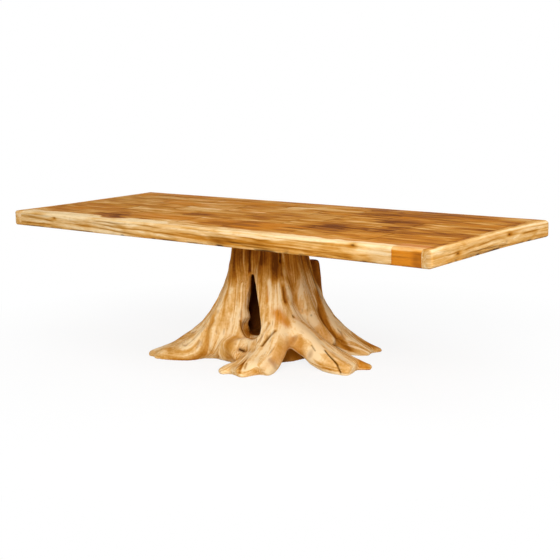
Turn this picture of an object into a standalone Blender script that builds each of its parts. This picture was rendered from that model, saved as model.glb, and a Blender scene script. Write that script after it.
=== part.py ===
"""Log dining table: a planked top in a live-edge rim, carried on one root stump.

The top is a field of tongued boards lying in the rebate of four rim rails. Cross battens are screwed
up into the boards, two bearers carry the battens, and lag screws hold the bearers down on the stump.
Units are metres, +Z is up, and the origin is on the floor under the middle of the top.
"""

import math
from collections import namedtuple

import bmesh
import bpy
from mathutils import Matrix, Vector

# Overall sizes
TABLE_LENGTH = 2.745
TABLE_WIDTH = 1.070
TABLE_HEIGHT = 0.750

# Rim rails
RAIL_DEPTH = 0.082
SIDE_RAIL_WIDTH = 0.105
END_RAIL_WIDTH = 0.046
REBATE_WIDTH = 0.025
TOP_EDGE_RADIUS = 0.018
BOTTOM_EDGE_RADIUS = 0.014
CORNER_RADIUS = 0.022
SWELL_CORNER_RADIUS = 0.032
SWELL = 0.027
SWELL_LENGTH = 0.420
LIVE_EDGE_DEPTH = 0.006
CORNER_FADE = 0.150
WEAR_REACH = 0.040
STATION_PITCH = 0.085
EDGE_STEPS = 4
CORNER_BLOCK_LENGTH = 0.151

# Loose tenons that join the rails at the corners
TENON_THICKNESS = 0.014
TENON_WIDTH = 0.052
TENON_IN_END_RAIL = 0.028
TENON_IN_SIDE_RAIL = 0.060
TENON_BELOW_TOP = 0.060

# Boards of the field
BOARD_THICKNESS = 0.036
BOARD_EASE = 0.0015
TONGUE_THICKNESS = 0.010
TONGUE_LENGTH = 0.009

# Battens and bearers under the boards
BATTEN_WIDTH = 0.090
BATTEN_DEPTH = 0.042
INNER_BATTEN_X = 0.330
BATTEN_FROM_END = 0.4125
BEARER_LENGTH = 0.860
BEARER_WIDTH = 0.085
BEARER_DEPTH = 0.045
BEARER_Y = 0.100
TIMBER_EASE = 0.003

# Fasteners
LAG_SHANK_RADIUS = 0.0050
LAG_HEAD_RADIUS = 0.0105
LAG_HEAD_HEIGHT = 0.0070
LAG_IN_STUMP = 0.080
LAG_CENTRE_X = 0.040
LAG_SPREAD = 0.090
SCREW_SHANK_RADIUS = 0.0025
SCREW_HEAD_RADIUS = 0.0060
SCREW_HEAD_HEIGHT = 0.0040
SCREW_HEAD_RECESS = 0.0080
SCREW_IN_BOARD = 0.022
SCREW_IN_BATTEN = 0.026
SCREW_POINT = 0.006
SCREW_SIDES = 8
SCREW_STAGGER = 0.020

# Clearance between pieces that meet, and by how much a cutter overshoots a face
FIT_GAP = 0.0003
CUT_OVER = 0.010

# Stump
ROOT_UNIT = 0.010
STUMP_VOXEL = 0.011
STUMP_SMOOTHING = 10
STUMP_DETAIL = 0.115
TOP_OVERRUN = 0.030
STRAND_POINTS = 11
STRAND_SIDES = 6
SWEEP = 1.25
KNEE = 0.45
STUMP_DRAWN_HEIGHT = 0.6261
HEART_CENTRE = (0.040, 0.000, 0.260)
HEART_SIZE = (0.085, 0.085, 0.170)
WINDOW_ANGLE = 297.0
WINDOW_SIDE_SHIFT = -0.014
WINDOW_BOTTOM = 0.126
WINDOW_TOP = 0.528
WINDOW_LEAN = -0.006
WINDOW_WIDTH = 0.132
WINDOW_DEPTH = 0.380

# A strand is one root as it runs down the outside of the stump: where its ridge starts and ends (angle
# and distance from the middle, height), how it flares, and how thick it is at the top, knee and tip.
# Its lengths are in root units.
Strand = namedtuple(
    "Strand",
    "top_angle top_radius top_drop tip_angle reach tip_height flare thick_top thick_knee thick_tip",
)
STRANDS = {
    "left_root": Strand(217, 14, 0, 218.6, 63.4, 2.4, 15, 5.5, 8.5, 4.8),
    "left_root_near": Strand(246, 16.5, 0, 223, 59, 2.2, 14, 5.5, 8, 5),
    "left_root_inner": Strand(260, 19, 22, 230, 34, 5, 16, 5, 6.8, 4.8),
    "front_root_left_toe": Strand(318, 21.2, 0, 280, 47, 2.5, 8, 5, 7, 4),
    "front_root_middle": Strand(327, 22.5, 0, 293, 50, 4, 12, 5, 7.8, 5.6),
    "front_root_right_toe": Strand(335, 23.2, 0, 307, 48.5, 6, 18, 5.2, 8, 6),
    "right_root_near_toe": Strand(341, 23.5, 31, 352, 67, 5, 30, 6, 6.8, 4.8),
    "right_root_middle": Strand(346, 23, 31, 358, 64, 5, 30, 5.5, 7, 4.5),
    "right_root_far_toe": Strand(349, 23, 31, 364, 68.5, 2.2, 30, 5.5, 7, 3.4),
    "trunk_right": Strand(5, 22.8, 0, 18, 42, 10, 20, 5, 6, 5),
    "far_right_root": Strand(38, 23.8, 0, 35, 64.5, 1.2, 20, 5.5, 8, 4),
    "far_right_root_low": Strand(30, 21.5, 0, 29.5, 59, 3.2, 18, 5, 6.8, 4.8),
    "broken_lobe": Strand(60, 33.5, 13, 70, 53, 1.2, 8, 4.5, 7, 3),
    "back_root": Strand(105, 23.5, 0, 114, 53.5, 1.4, 16, 6.5, 8.5, 4),
    "back_root_right": Strand(86, 23.5, 0, 105, 44, 4.5, 15, 5.5, 7.5, 5),
    "back_root_left": Strand(124, 22.5, 0, 122, 45, 4.5, 15, 5.5, 7.5, 5),
    "back_left_root": Strand(156, 20.5, 0, 157, 58.5, 1.2, 16, 6.5, 8.5, 4),
    "back_left_root_near": Strand(141, 21.5, 0, 149, 48, 4, 14, 5.5, 7.5, 4.8),
    "back_left_root_low": Strand(174, 18, 0, 165, 49, 4, 14, 5.5, 7.5, 4.8),
    "left_root_far": Strand(196, 14.5, 0, 207, 54, 3, 14, 5.5, 7.8, 4.5),
}

# A web is a mass of wood between the roots: points (x, y, height, radius) in root units.
WEBS = {
    "heart": ((4, 2, 10, 20), (4, 2, 30, 17.5), (3.5, 1.5, 70, 17)),
    "skirt": ((3, 3, -6, 25), (3, 3, 2, 24.5), (3, 3, 15, 20)),
    "under_window": (
        (-14, -20, 4, 6.4), (0, -22.8, 5, 6.2), (11, -28, 7, 7),
    ),
    "window_lip": (
        (0.5, -19.5, 20, 2.2), (0.8, -19.2, 15, 2.6), (3, -19.6, 11.5, 2.8),
        (6.5, -20.5, 10, 3), (10.5, -21.2, 10.8, 3), (13.5, -21.5, 13.5, 2.6),
    ),
}

half_length = TABLE_LENGTH / 2
half_width = TABLE_WIDTH / 2
rail_bottom = TABLE_HEIGHT - RAIL_DEPTH
board_bottom = TABLE_HEIGHT - BOARD_THICKNESS
batten_top = board_bottom - FIT_GAP
batten_bottom = batten_top - BATTEN_DEPTH
bearer_top = batten_bottom - FIT_GAP
bearer_bottom = bearer_top - BEARER_DEPTH
stump_top = bearer_bottom - FIT_GAP
field_half_length = half_length - END_RAIL_WIDTH - FIT_GAP
field_half_width = half_width - SIDE_RAIL_WIDTH - FIT_GAP
outer_batten_x = half_length - BATTEN_FROM_END
batten_positions = (-outer_batten_x, -INNER_BATTEN_X, INNER_BATTEN_X, outer_batten_x)

# Rows of boards from front to back: how wide each row is among the others, and where its boards meet end
# to end as shares of the row's length
ROW_WIDTHS = (23, 16, 18, 16, 13)
ROW_JOINTS = (
    (0.245, 0.420, 0.538, 0.698, 0.868),
    (0.173, 0.356, 0.614, 0.804),
    (0.272, 0.492, 0.667, 0.853),
    (0.166, 0.386, 0.584, 0.762),
    (0.264, 0.477, 0.660),
)
SCREWED_ROWS = (1, 3)
row_room = 2 * field_half_width - (len(ROW_WIDTHS) - 1) * FIT_GAP
row_edges = []
for row in range(len(ROW_WIDTHS)):
    near = -field_half_width + row_room * sum(ROW_WIDTHS[:row]) / sum(ROW_WIDTHS) + row * FIT_GAP
    row_edges.append((near, near + row_room * ROW_WIDTHS[row] / sum(ROW_WIDTHS)))

# Scene, collections and materials

for old in list(bpy.data.objects):
    bpy.data.objects.remove(old, do_unlink=True)

table = bpy.data.collections.new("log_dining_table")
cutters = bpy.data.collections.new("cutters")
bpy.context.scene.collection.children.link(table)
bpy.context.scene.collection.children.link(cutters)


def material(name, colour, roughness, metallic=0.0):
    made = bpy.data.materials.new(name)
    made.use_nodes = True
    shader = made.node_tree.nodes["Principled BSDF"]
    shader.inputs["Base Color"].default_value = (*colour, 1.0)
    shader.inputs["Roughness"].default_value = roughness
    shader.inputs["Metallic"].default_value = metallic
    return made


ROOT_WOOD = material("root_wood", (0.52, 0.33, 0.16), 0.6)
RIM_WOOD = material("rim_wood", (0.60, 0.36, 0.15), 0.45)
BLOCK_WOOD = material("block_wood", (0.50, 0.21, 0.06), 0.45)
BOARD_WOOD = material("board_wood", (0.38, 0.20, 0.08), 0.4)
FRAME_WOOD = material("frame_wood", (0.42, 0.28, 0.15), 0.7)
SCREW_STEEL = material("screw_steel", (0.55, 0.55, 0.54), 0.4, 1.0)


# Helpers

def add(name, mesh, skin, placing=None):
    """Put a mesh into the table's collection as a named piece."""
    piece = bpy.data.objects.new(name, mesh)
    if placing is not None:
        piece.matrix_world = placing
    mesh.materials.append(skin)
    table.objects.link(piece)
    return piece


def add_cutter(name, data, placing=None):
    """Put a mesh or curve into the cutters' collection, out of the picture."""
    tool = bpy.data.objects.new(name, data)
    if placing is not None:
        tool.matrix_world = placing
    tool.display_type = "WIRE"
    tool.hide_render = True
    cutters.objects.link(tool)
    return tool


def cut(piece, tool, operation="DIFFERENCE"):
    step = piece.modifiers.new(tool.name, "BOOLEAN")
    step.operation = operation
    step.solver = "EXACT"
    step.object = tool


def box_mesh(name, low, high):
    """A box between two corners."""
    bm = bmesh.new()
    bmesh.ops.create_cube(bm, size=1.0)
    size = Vector(high) - Vector(low)
    middle = (Vector(high) + Vector(low)) / 2
    bmesh.ops.scale(bm, vec=size, verts=bm.verts)
    bmesh.ops.translate(bm, vec=middle, verts=bm.verts)
    mesh = bpy.data.meshes.new(name)
    bm.to_mesh(mesh)
    bm.free()
    return mesh


def ease(piece, width, segments=1):
    step = piece.modifiers.new("ease", "BEVEL")
    step.width = width
    step.segments = segments
    step.limit_method = "ANGLE"
    step.angle_limit = math.radians(40)


def turned_mesh(name, outline, sides):
    """A body of revolution about +Z from (radius, height) points, both ends on the axis."""
    bm = bmesh.new()
    ring = [bm.verts.new((radius, 0.0, height)) for radius, height in outline]
    edges = [bm.edges.new(pair) for pair in zip(ring, ring[1:])]
    bmesh.ops.spin(
        bm, geom=ring + edges, axis=(0, 0, 1), cent=(0, 0, 0),
        steps=sides, angle=2 * math.pi, use_merge=True,
    )
    bmesh.ops.remove_doubles(bm, verts=bm.verts, dist=1e-6)
    bmesh.ops.dissolve_degenerate(bm, dist=1e-7, edges=bm.edges)
    bmesh.ops.recalc_face_normals(bm, faces=bm.faces)
    mesh = bpy.data.meshes.new(name)
    bm.to_mesh(mesh)
    bm.free()
    return mesh


def sweep(outline, stations):
    """Carry a closed (y, z) outline along X through the stations, and close both ends."""
    bm = bmesh.new()
    ring = [bm.verts.new((stations[0], y, z)) for y, z in outline]
    edges = [bm.edges.new(pair) for pair in zip(ring, ring[1:] + ring[:1])]
    first = list(edges)
    for before, station in zip(stations, stations[1:]):
        grown = bmesh.ops.extrude_edge_only(bm, edges=edges)["geom"]
        edges = [item for item in grown if isinstance(item, bmesh.types.BMEdge)]
        moved = [item for item in grown if isinstance(item, bmesh.types.BMVert)]
        bmesh.ops.translate(bm, vec=(station - before, 0, 0), verts=moved)
    bmesh.ops.contextual_create(bm, geom=first)
    bmesh.ops.contextual_create(bm, geom=edges)
    bmesh.ops.recalc_face_normals(bm, faces=bm.faces)
    return bm


def smoothstep(value):
    value = min(max(value, 0.0), 1.0)
    return value * value * (3 - 2 * value)


# Rim rails: drawn with X along the rail, Y inward from the outer face and Z up from the top face

def live_edge(along, height, seed):
    """How far the outer face is worn in, between zero and one, at a place on the rail."""
    slow = math.sin(3.1 * along + 1.7 * seed) + 0.7 * math.sin(7.3 * along + 2.9 * seed)
    lean = math.sin(2.2 * along + 45.0 * height + 0.8 * seed)
    return 0.5 + (slow + 0.8 * lean) / 5.0


def rail_outline(width):
    """Outline of a rail's end: rebate on the inner side, rounded edges on the outer side."""
    rebate = -(BOARD_THICKNESS + FIT_GAP)
    points = [
        (width + REBATE_WIDTH, -RAIL_DEPTH),
        (width + REBATE_WIDTH, rebate),
        (width, rebate),
        (width, 0.0),
    ]
    for step in range(EDGE_STEPS + 1):
        turn = math.radians(90) * step / EDGE_STEPS
        points.append((
            TOP_EDGE_RADIUS * (1 - math.sin(turn)), -TOP_EDGE_RADIUS * (1 - math.cos(turn)),
        ))
    flat = RAIL_DEPTH - TOP_EDGE_RADIUS - BOTTOM_EDGE_RADIUS
    for step in range(1, EDGE_STEPS):
        points.append((0.0, -TOP_EDGE_RADIUS - flat * step / EDGE_STEPS))
    for step in range(EDGE_STEPS + 1):
        turn = math.radians(90) * step / EDGE_STEPS
        points.append((
            BOTTOM_EDGE_RADIUS * (1 - math.cos(turn)),
            -RAIL_DEPTH + BOTTOM_EDGE_RADIUS * (1 - math.sin(turn)),
        ))
    return points


def fallen(left, radius):
    """How far a rounded edge has fallen away at this distance from its end."""
    short = radius - min(max(left, 0.0), radius)
    return radius - math.sqrt(radius ** 2 - short ** 2)


def rail_stations(start, end, corners):
    """Places along a rail where its outline is repeated, closer together at rounded corners."""
    count = max(2, round((end - start) / STATION_PITCH))
    stations = [start + (end - start) * step / count for step in range(count + 1)]
    if corners:
        first, last = corners
        bend = [1 - math.cos(math.radians(30 * step)) for step in range(4)]
        middle = [place for place in stations if start + 2 * first < place < end - 2 * last]
        near = [start + first * share for share in bend]
        far = [end - last * share for share in bend[::-1]]
        stations = near + middle + far
    return stations


def rail_mesh(name, start, end, width, side_reach, seed, corners=None, swell=0.0):
    """Sweep the rail's outline from start to end, wear its outer face and round its free corners.

    Corners are the radii at the two free ends, where the long edges' rounding runs on over the end grain.
    A swell makes the outer face stand out towards the rail's end.
    """
    bm = sweep(rail_outline(width), rail_stations(start, end, corners))
    for vert in bm.verts:
        along, inward, height = vert.co
        outer = 1 - smoothstep(inward / max(0.6 * width, WEAR_REACH))
        fade = smoothstep((side_reach - abs(along)) / CORNER_FADE)
        wear = LIVE_EDGE_DEPTH * live_edge(along, height, seed) * fade
        wear -= swell * smoothstep(1 - (end - along) / SWELL_LENGTH)
        if corners:
            for left, radius in ((along - start, corners[0]), (end - along, corners[1])):
                wear += fallen(left, radius)
                height = min(height, -fallen(left, TOP_EDGE_RADIUS))
                height = max(height, -RAIL_DEPTH + fallen(left, BOTTOM_EDGE_RADIUS))
        vert.co = (along, inward + wear * outer, height)
    mesh = bpy.data.meshes.new(name)
    bm.to_mesh(mesh)
    bm.free()
    return mesh


def rail_placing(side, offset):
    """Turn a rail so its outer face looks out of the table on the given side."""
    turn = {"front": 0, "right": 90, "back": 180, "left": 270}[side]
    outward = Matrix.Rotation(math.radians(turn), 4, "Z")
    return Matrix.Translation((0, 0, TABLE_HEIGHT)) @ outward @ Matrix.Translation((0, -offset, 0))


# Rails, corner block and tenons

side_end = half_length - END_RAIL_WIDTH - FIT_GAP
block_start = side_end - CORNER_BLOCK_LENGTH
front = rail_placing("front", half_width)
back = rail_placing("back", half_width)
right = rail_placing("right", half_length)
left = rail_placing("left", half_length)

front_rail = add(
    "front_rail",
    rail_mesh("front_rail", -side_end, block_start - FIT_GAP, SIDE_RAIL_WIDTH, half_length, 1),
    RIM_WOOD, front,
)
front_corner_block = add(
    "front_corner_block",
    rail_mesh("front_corner_block", block_start, side_end, SIDE_RAIL_WIDTH, half_length, 1),
    BLOCK_WOOD, front,
)
back_rail = add(
    "back_rail",
    rail_mesh("back_rail", -side_end, side_end, SIDE_RAIL_WIDTH, half_length, 2),
    RIM_WOOD, back,
)
right_end_rail = add(
    "right_end_rail",
    rail_mesh(
        "right_end_rail", -half_width, half_width, END_RAIL_WIDTH, half_width, 3,
        (CORNER_RADIUS, SWELL_CORNER_RADIUS), SWELL,
    ),
    RIM_WOOD, right,
)
left_end_rail = add(
    "left_end_rail",
    rail_mesh(
        "left_end_rail", -half_width, half_width, END_RAIL_WIDTH, half_width, 4,
        (CORNER_RADIUS, SWELL_CORNER_RADIUS), SWELL,
    ),
    RIM_WOOD, left,
)

# The end rails' rebate stops where the side rails run up against them.
side_foot = SIDE_RAIL_WIDTH + REBATE_WIDTH + FIT_GAP
for rail, placing in ((right_end_rail, right), (left_end_rail, left)):
    for hand in (-1, 1):
        reach = sorted((hand * (half_width - side_foot), hand * (half_width + CUT_OVER)))
        low = (reach[0], END_RAIL_WIDTH, -RAIL_DEPTH - CUT_OVER)
        high = (reach[1], END_RAIL_WIDTH + REBATE_WIDTH + CUT_OVER, CUT_OVER)
        cut(rail, add_cutter("notch_" + rail.name, box_mesh("notch", low, high), placing))

tenon_y = half_width - (SIDE_RAIL_WIDTH + REBATE_WIDTH) / 2
tenon_z = TABLE_HEIGHT - TENON_BELOW_TOP


def add_tenon(name, x_side, y_side, in_side_rail, rails):
    """A loose tenon across a corner, with a mortise of its own size in every rail it passes."""
    outer = half_length - END_RAIL_WIDTH + TENON_IN_END_RAIL
    inner = side_end - in_side_rail
    middle = Vector((x_side * (outer + inner) / 2, y_side * tenon_y, tenon_z))
    half = Vector((outer - inner, TENON_WIDTH, TENON_THICKNESS)) / 2
    gap = Vector((FIT_GAP, FIT_GAP, FIT_GAP))
    add(name, box_mesh(name, middle - half, middle + half), FRAME_WOOD)
    mortise = box_mesh("mortise_" + name, middle - half - gap, middle + half + gap)
    tool = add_cutter("mortise_" + name, mortise)
    for rail in rails:
        cut(rail, tool)


add_tenon("tenon_front_left", -1, -1, TENON_IN_SIDE_RAIL, (front_rail, left_end_rail))
add_tenon(
    "tenon_front_right", 1, -1, TENON_IN_SIDE_RAIL + CORNER_BLOCK_LENGTH,
    (front_rail, front_corner_block, right_end_rail),
)
add_tenon("tenon_back_left", -1, 1, TENON_IN_SIDE_RAIL, (back_rail, left_end_rail))
add_tenon("tenon_back_right", 1, 1, TENON_IN_SIDE_RAIL, (back_rail, right_end_rail))


# Boards of the field

def board_outline(low, high, grooved, tongued):
    """Outline of a board's end: a groove in the near edge, a tongue on the far edge."""
    middle = board_bottom + BOARD_THICKNESS / 2
    tongue = TONGUE_THICKNESS / 2
    groove = tongue + FIT_GAP
    points = [(low, board_bottom), (high, board_bottom)]
    if tongued:
        points += [
            (high, middle - tongue), (high + TONGUE_LENGTH, middle - tongue),
            (high + TONGUE_LENGTH, middle + tongue), (high, middle + tongue),
        ]
    points += [
        (high, TABLE_HEIGHT - BOARD_EASE), (high - BOARD_EASE, TABLE_HEIGHT),
        (low + BOARD_EASE, TABLE_HEIGHT), (low, TABLE_HEIGHT - BOARD_EASE),
    ]
    if grooved:
        points += [
            (low, middle + groove), (low + TONGUE_LENGTH, middle + groove),
            (low + TONGUE_LENGTH, middle - groove), (low, middle - groove),
        ]
    return points


def board_mesh(name, outline, start, end):
    bm = sweep(outline, (start, end))
    mesh = bpy.data.meshes.new(name)
    bm.to_mesh(mesh)
    bm.free()
    return mesh


boards = []
for row, (near, far) in enumerate(row_edges):
    shape = board_outline(near, far, row > 0, row < len(row_edges) - 1)
    shares = (0.0, *ROW_JOINTS[row], 1.0)
    ends = [-field_half_length + 2 * field_half_length * share for share in shares]
    for number, (start, end) in enumerate(zip(ends, ends[1:]), 1):
        start += FIT_GAP / 2 if number > 1 else 0.0
        end -= FIT_GAP / 2 if number < len(shares) - 1 else 0.0
        name = f"board_{row + 1}_{number}"
        board = add(name, board_mesh(name, shape, start, end), BOARD_WOOD)
        boards.append((board, start, end, near, far))


# Battens and bearers

batten_half_length = half_width - SIDE_RAIL_WIDTH - REBATE_WIDTH - FIT_GAP
battens = []
for number, x in enumerate(batten_positions, 1):
    low = (x - BATTEN_WIDTH / 2, -batten_half_length, batten_bottom)
    high = (x + BATTEN_WIDTH / 2, batten_half_length, batten_top)
    batten = add(f"batten_{number}", box_mesh(f"batten_{number}", low, high), FRAME_WOOD)
    ease(batten, TIMBER_EASE)
    battens.append(batten)

bearers = []
for name, y in (("bearer_front", -BEARER_Y), ("bearer_back", BEARER_Y)):
    low = (-BEARER_LENGTH / 2, y - BEARER_WIDTH / 2, bearer_bottom)
    high = (BEARER_LENGTH / 2, y + BEARER_WIDTH / 2, bearer_top)
    bearer = add(name, box_mesh(name, low, high), FRAME_WOOD)
    ease(bearer, TIMBER_EASE)
    bearers.append((bearer, y))


# Screws

def screw_outline(shank_length, grow=0.0, below=0.0):
    """Half outline of a pan-head screw pointing up, its head's upper face at height zero."""
    return [
        (0.0, -SCREW_HEAD_HEIGHT - below),
        (SCREW_HEAD_RADIUS + grow, -SCREW_HEAD_HEIGHT - below),
        (SCREW_HEAD_RADIUS + grow, grow),
        (SCREW_SHANK_RADIUS + grow, grow),
        (SCREW_SHANK_RADIUS + grow, shank_length - SCREW_POINT),
        (0.0, shank_length + grow),
    ]


def add_screw(name, x, y, face_z, top_z, pieces):
    """A screw driven up from a recess in the face at face_z, with its hole in every piece it enters."""
    seat = face_z + SCREW_HEAD_RECESS
    placing = Matrix.Translation((x, y, seat))
    shape = turned_mesh(name, screw_outline(top_z - seat), SCREW_SIDES)
    add(name, shape, SCREW_STEEL, placing)
    hole = screw_outline(top_z - seat, FIT_GAP, SCREW_HEAD_RECESS + CUT_OVER)
    tool = add_cutter("hole_" + name, turned_mesh("hole_" + name, hole, SCREW_SIDES), placing)
    for piece in pieces:
        cut(piece, tool)


number = 0
for batten, batten_x in zip(battens, batten_positions):
    x = batten_x + SCREW_STAGGER
    for row in SCREWED_ROWS:
        y = sum(row_edges[row]) / 2
        number += 1
        held = [
            board for board, start, end, near, far in boards
            if near < y < far and start - SCREW_HEAD_RADIUS < x < end + SCREW_HEAD_RADIUS
        ]
        tip = board_bottom + SCREW_IN_BOARD
        add_screw(f"batten_screw_{number}", x, y, batten_bottom, tip, [batten, *held])

number = 0
for bearer, y in bearers:
    for batten, batten_x in zip(battens, batten_positions):
        x = batten_x - SCREW_STAGGER
        if abs(batten_x) < BEARER_LENGTH / 2:
            number += 1
            tip = batten_bottom + SCREW_IN_BATTEN
            add_screw(f"bearer_screw_{number}", x, y, bearer_bottom, tip, [bearer, batten])


# Stump

def in_metres(strand):
    """The strand with its lengths, which are drawn in root units, in metres."""
    lengths = {name: value * ROOT_UNIT for name, value in strand._asdict().items() if "angle" not in name}
    return strand._replace(**lengths)


def strand_points(strand):
    """Centre points and radii down one root, from above the stump's top to its tip under the floor line."""
    top = stump_top - strand.top_drop
    low = strand.tip_height + strand.flare
    spread = (strand.reach - strand.top_radius) / (1 / low - 1 / (top + strand.flare))
    axis = strand.reach - spread / low
    heights = [strand.tip_height + (top - strand.tip_height) * (1 - step / 200) ** 2 for step in range(201)]
    ridge = [(axis + spread / (height + strand.flare), height) for height in heights]
    run = [0.0]
    for before, after in zip(ridge, ridge[1:]):
        run.append(run[-1] + math.dist(before, after))
    points = []
    for step in range(STRAND_POINTS):
        share = step / (STRAND_POINTS - 1)
        index = next(place for place, length in enumerate(run) if length >= share * run[-1] - 1e-9)
        index = min(max(index, 1), len(ridge) - 2)
        out, height = ridge[index]
        slope = Vector(ridge[index + 1]) - Vector(ridge[index - 1])
        normal = Vector((-slope.y, slope.x)).normalized()
        if share < KNEE:
            thick = strand.thick_top + (strand.thick_knee - strand.thick_top) * smoothstep(share / KNEE)
        else:
            fall = smoothstep((share - KNEE) / (1 - KNEE))
            thick = strand.thick_knee + (strand.thick_tip - strand.thick_knee) * fall
        out -= normal.x * thick
        height -= normal.y * thick
        reached = max(0.0, (ridge[index][0] - strand.top_radius) / (strand.reach - strand.top_radius))
        angle = math.radians(strand.top_angle + (strand.tip_angle - strand.top_angle) * reached ** SWEEP)
        points.append((Vector((out * math.cos(angle), out * math.sin(angle), height)), thick))
    if strand.top_drop == 0:
        place, thick = points[0]
        points.insert(0, (place + Vector((0, 0, TOP_OVERRUN)), thick))
    return points


def tube_curve(name, lines):
    """One curve with a round tube along every line of (place, radius) points."""
    curve = bpy.data.curves.new(name, "CURVE")
    curve.dimensions = "3D"
    curve.bevel_depth = 1.0
    curve.bevel_resolution = STRAND_SIDES
    curve.use_fill_caps = True
    for line in lines:
        spline = curve.splines.new("POLY")
        spline.points.add(len(line) - 1)
        for point, (place, radius) in zip(spline.points, line):
            point.co = (*place, 1.0)
            point.radius = radius
    return curve


def curve_to_mesh(name, curve):
    """Turn a curve into a plain mesh."""
    drawn = bpy.data.objects.new(name, curve)
    cutters.objects.link(drawn)
    bpy.context.view_layer.update()
    mesh = bpy.data.meshes.new_from_object(drawn.evaluated_get(bpy.context.evaluated_depsgraph_get()))
    bpy.data.objects.remove(drawn)
    mesh.name = name
    return mesh


def window_curve(name):
    """The teardrop window's outline, broad below and pointed above, deep enough to reach the middle."""
    curve = bpy.data.curves.new(name, "CURVE")
    curve.dimensions = "2D"
    curve.fill_mode = "BOTH"
    curve.extrude = WINDOW_DEPTH / 2
    spline = curve.splines.new("BEZIER")
    spline.bezier_points.add(3)
    wide = WINDOW_WIDTH / 2
    belly = WINDOW_BOTTOM + 0.9 * wide
    rise = WINDOW_TOP - belly
    knots = (
        ((0.0, WINDOW_BOTTOM), (-0.55 * wide, WINDOW_BOTTOM), (0.55 * wide, WINDOW_BOTTOM)),
        ((wide, belly), (wide, WINDOW_BOTTOM + 0.4 * wide), (0.9 * wide, belly + 0.26 * rise)),
        (
            (WINDOW_LEAN, WINDOW_TOP),
            (WINDOW_LEAN + 0.25 * wide, belly + 0.66 * rise),
            (WINDOW_LEAN - 0.3 * wide, belly + 0.15 * rise),
        ),
        ((-wide, belly), (-wide, belly + 0.08 * rise), (-wide, WINDOW_BOTTOM + 0.4 * wide)),
    )
    for point, (place, before, after) in zip(spline.bezier_points, knots):
        point.handle_left_type = "FREE"
        point.handle_right_type = "FREE"
        point.co = (*place, 0)
        point.handle_left = (*before, 0)
        point.handle_right = (*after, 0)
    spline.use_cyclic_u = True
    return curve


stump_height_share = stump_top / STUMP_DRAWN_HEIGHT
strands = [in_metres(strand) for strand in STRANDS.values()]
lines = [strand_points(strand) for strand in strands]
for web in WEBS.values():
    places = [Vector((x, y, height * stump_height_share)) * ROOT_UNIT for x, y, height, _ in web]
    lines.append([(place, point[3] * ROOT_UNIT) for place, point in zip(places, web)])
stump = add("stump", curve_to_mesh("stump", tube_curve("stump_strands", lines)), ROOT_WOOD)


def voxels(piece, size):
    step = piece.modifiers.new("voxels", "REMESH")
    step.mode = "VOXEL"
    step.voxel_size = size


voxels(stump, STUMP_VOXEL)

bm = bmesh.new()
bmesh.ops.create_uvsphere(bm, u_segments=24, v_segments=12, radius=1.0)
heart_mesh = bpy.data.meshes.new("heart_hollow")
bm.to_mesh(heart_mesh)
bm.free()
heart_x, heart_y, heart_z = HEART_CENTRE
wide, deep, tall = HEART_SIZE
heart_placing = Matrix.Translation((heart_x, heart_y, heart_z * stump_height_share))
heart_placing = heart_placing @ Matrix.Diagonal((wide, deep, tall * stump_height_share, 1.0))
cut(stump, add_cutter("heart_hollow", heart_mesh, heart_placing))

window_upright = Matrix.Rotation(math.radians(90), 4, "X")
window_turn = Matrix.Rotation(math.radians(WINDOW_ANGLE + 90), 4, "Z") @ window_upright
window_out = Matrix.Translation((WINDOW_SIDE_SHIFT, 0, WINDOW_DEPTH / 2))
window_tall = Matrix.Diagonal((1.0, stump_height_share, 1.0, 1.0))
window_placing = window_turn @ window_out @ window_tall
cut(stump, add_cutter("window", curve_to_mesh("window", window_curve("window")), window_placing))

voxels(stump, STUMP_VOXEL)

step = stump.modifiers.new("weathered", "SMOOTH")
step.factor = 0.5
step.iterations = STUMP_SMOOTHING

step = stump.modifiers.new("lighter", "DECIMATE")
step.ratio = STUMP_DETAIL

trim_reach = max(strand.reach for strand in strands) + CUT_OVER
trim = box_mesh("stump_trim", (-trim_reach, -trim_reach, 0.0), (trim_reach, trim_reach, stump_top))
cut(stump, add_cutter("stump_trim", trim), "INTERSECT")


# Lag screws from the bearers into the stump

def lag_outline(grow=0.0, above=0.0):
    """Half outline of a lag screw's shank, with the underside of its head at height zero."""
    length = BEARER_DEPTH + FIT_GAP + LAG_IN_STUMP
    return [
        (0.0, above),
        (LAG_SHANK_RADIUS + grow, above),
        (LAG_SHANK_RADIUS + grow, -length + 2 * LAG_SHANK_RADIUS),
        (0.0, -length - grow),
    ]


number = 0
for bearer, y in bearers:
    for x in (LAG_CENTRE_X - LAG_SPREAD, LAG_CENTRE_X + LAG_SPREAD):
        number += 1
        name = f"lag_screw_{number}"
        placing = Matrix.Translation((x, y, bearer_top + FIT_GAP))
        rim = [(LAG_HEAD_RADIUS, 0.0), (LAG_HEAD_RADIUS, LAG_HEAD_HEIGHT)]
        head = [(0.0, 0.0), *rim, (0.0, LAG_HEAD_HEIGHT)]
        lag = add(name, turned_mesh(name, head, 6), SCREW_STEEL, placing)
        shank = turned_mesh("shank", lag_outline(above=LAG_HEAD_HEIGHT / 2), SCREW_SIDES)
        cut(lag, add_cutter("shank_" + name, shank, placing), "UNION")
        pilot = turned_mesh("pilot", lag_outline(FIT_GAP, CUT_OVER), SCREW_SIDES)
        tool = add_cutter("pilot_" + name, pilot, placing)
        cut(bearer, tool)
        cut(stump, tool)

bpy.context.view_layer.update()
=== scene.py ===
"""Looks of the log dining table: root stump, live-edge rim, planked field, and the timber below it."""

import math

import bmesh
import bpy
import numpy as np
from mathutils import Matrix, Vector
from mathutils.kdtree import KDTree


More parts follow.
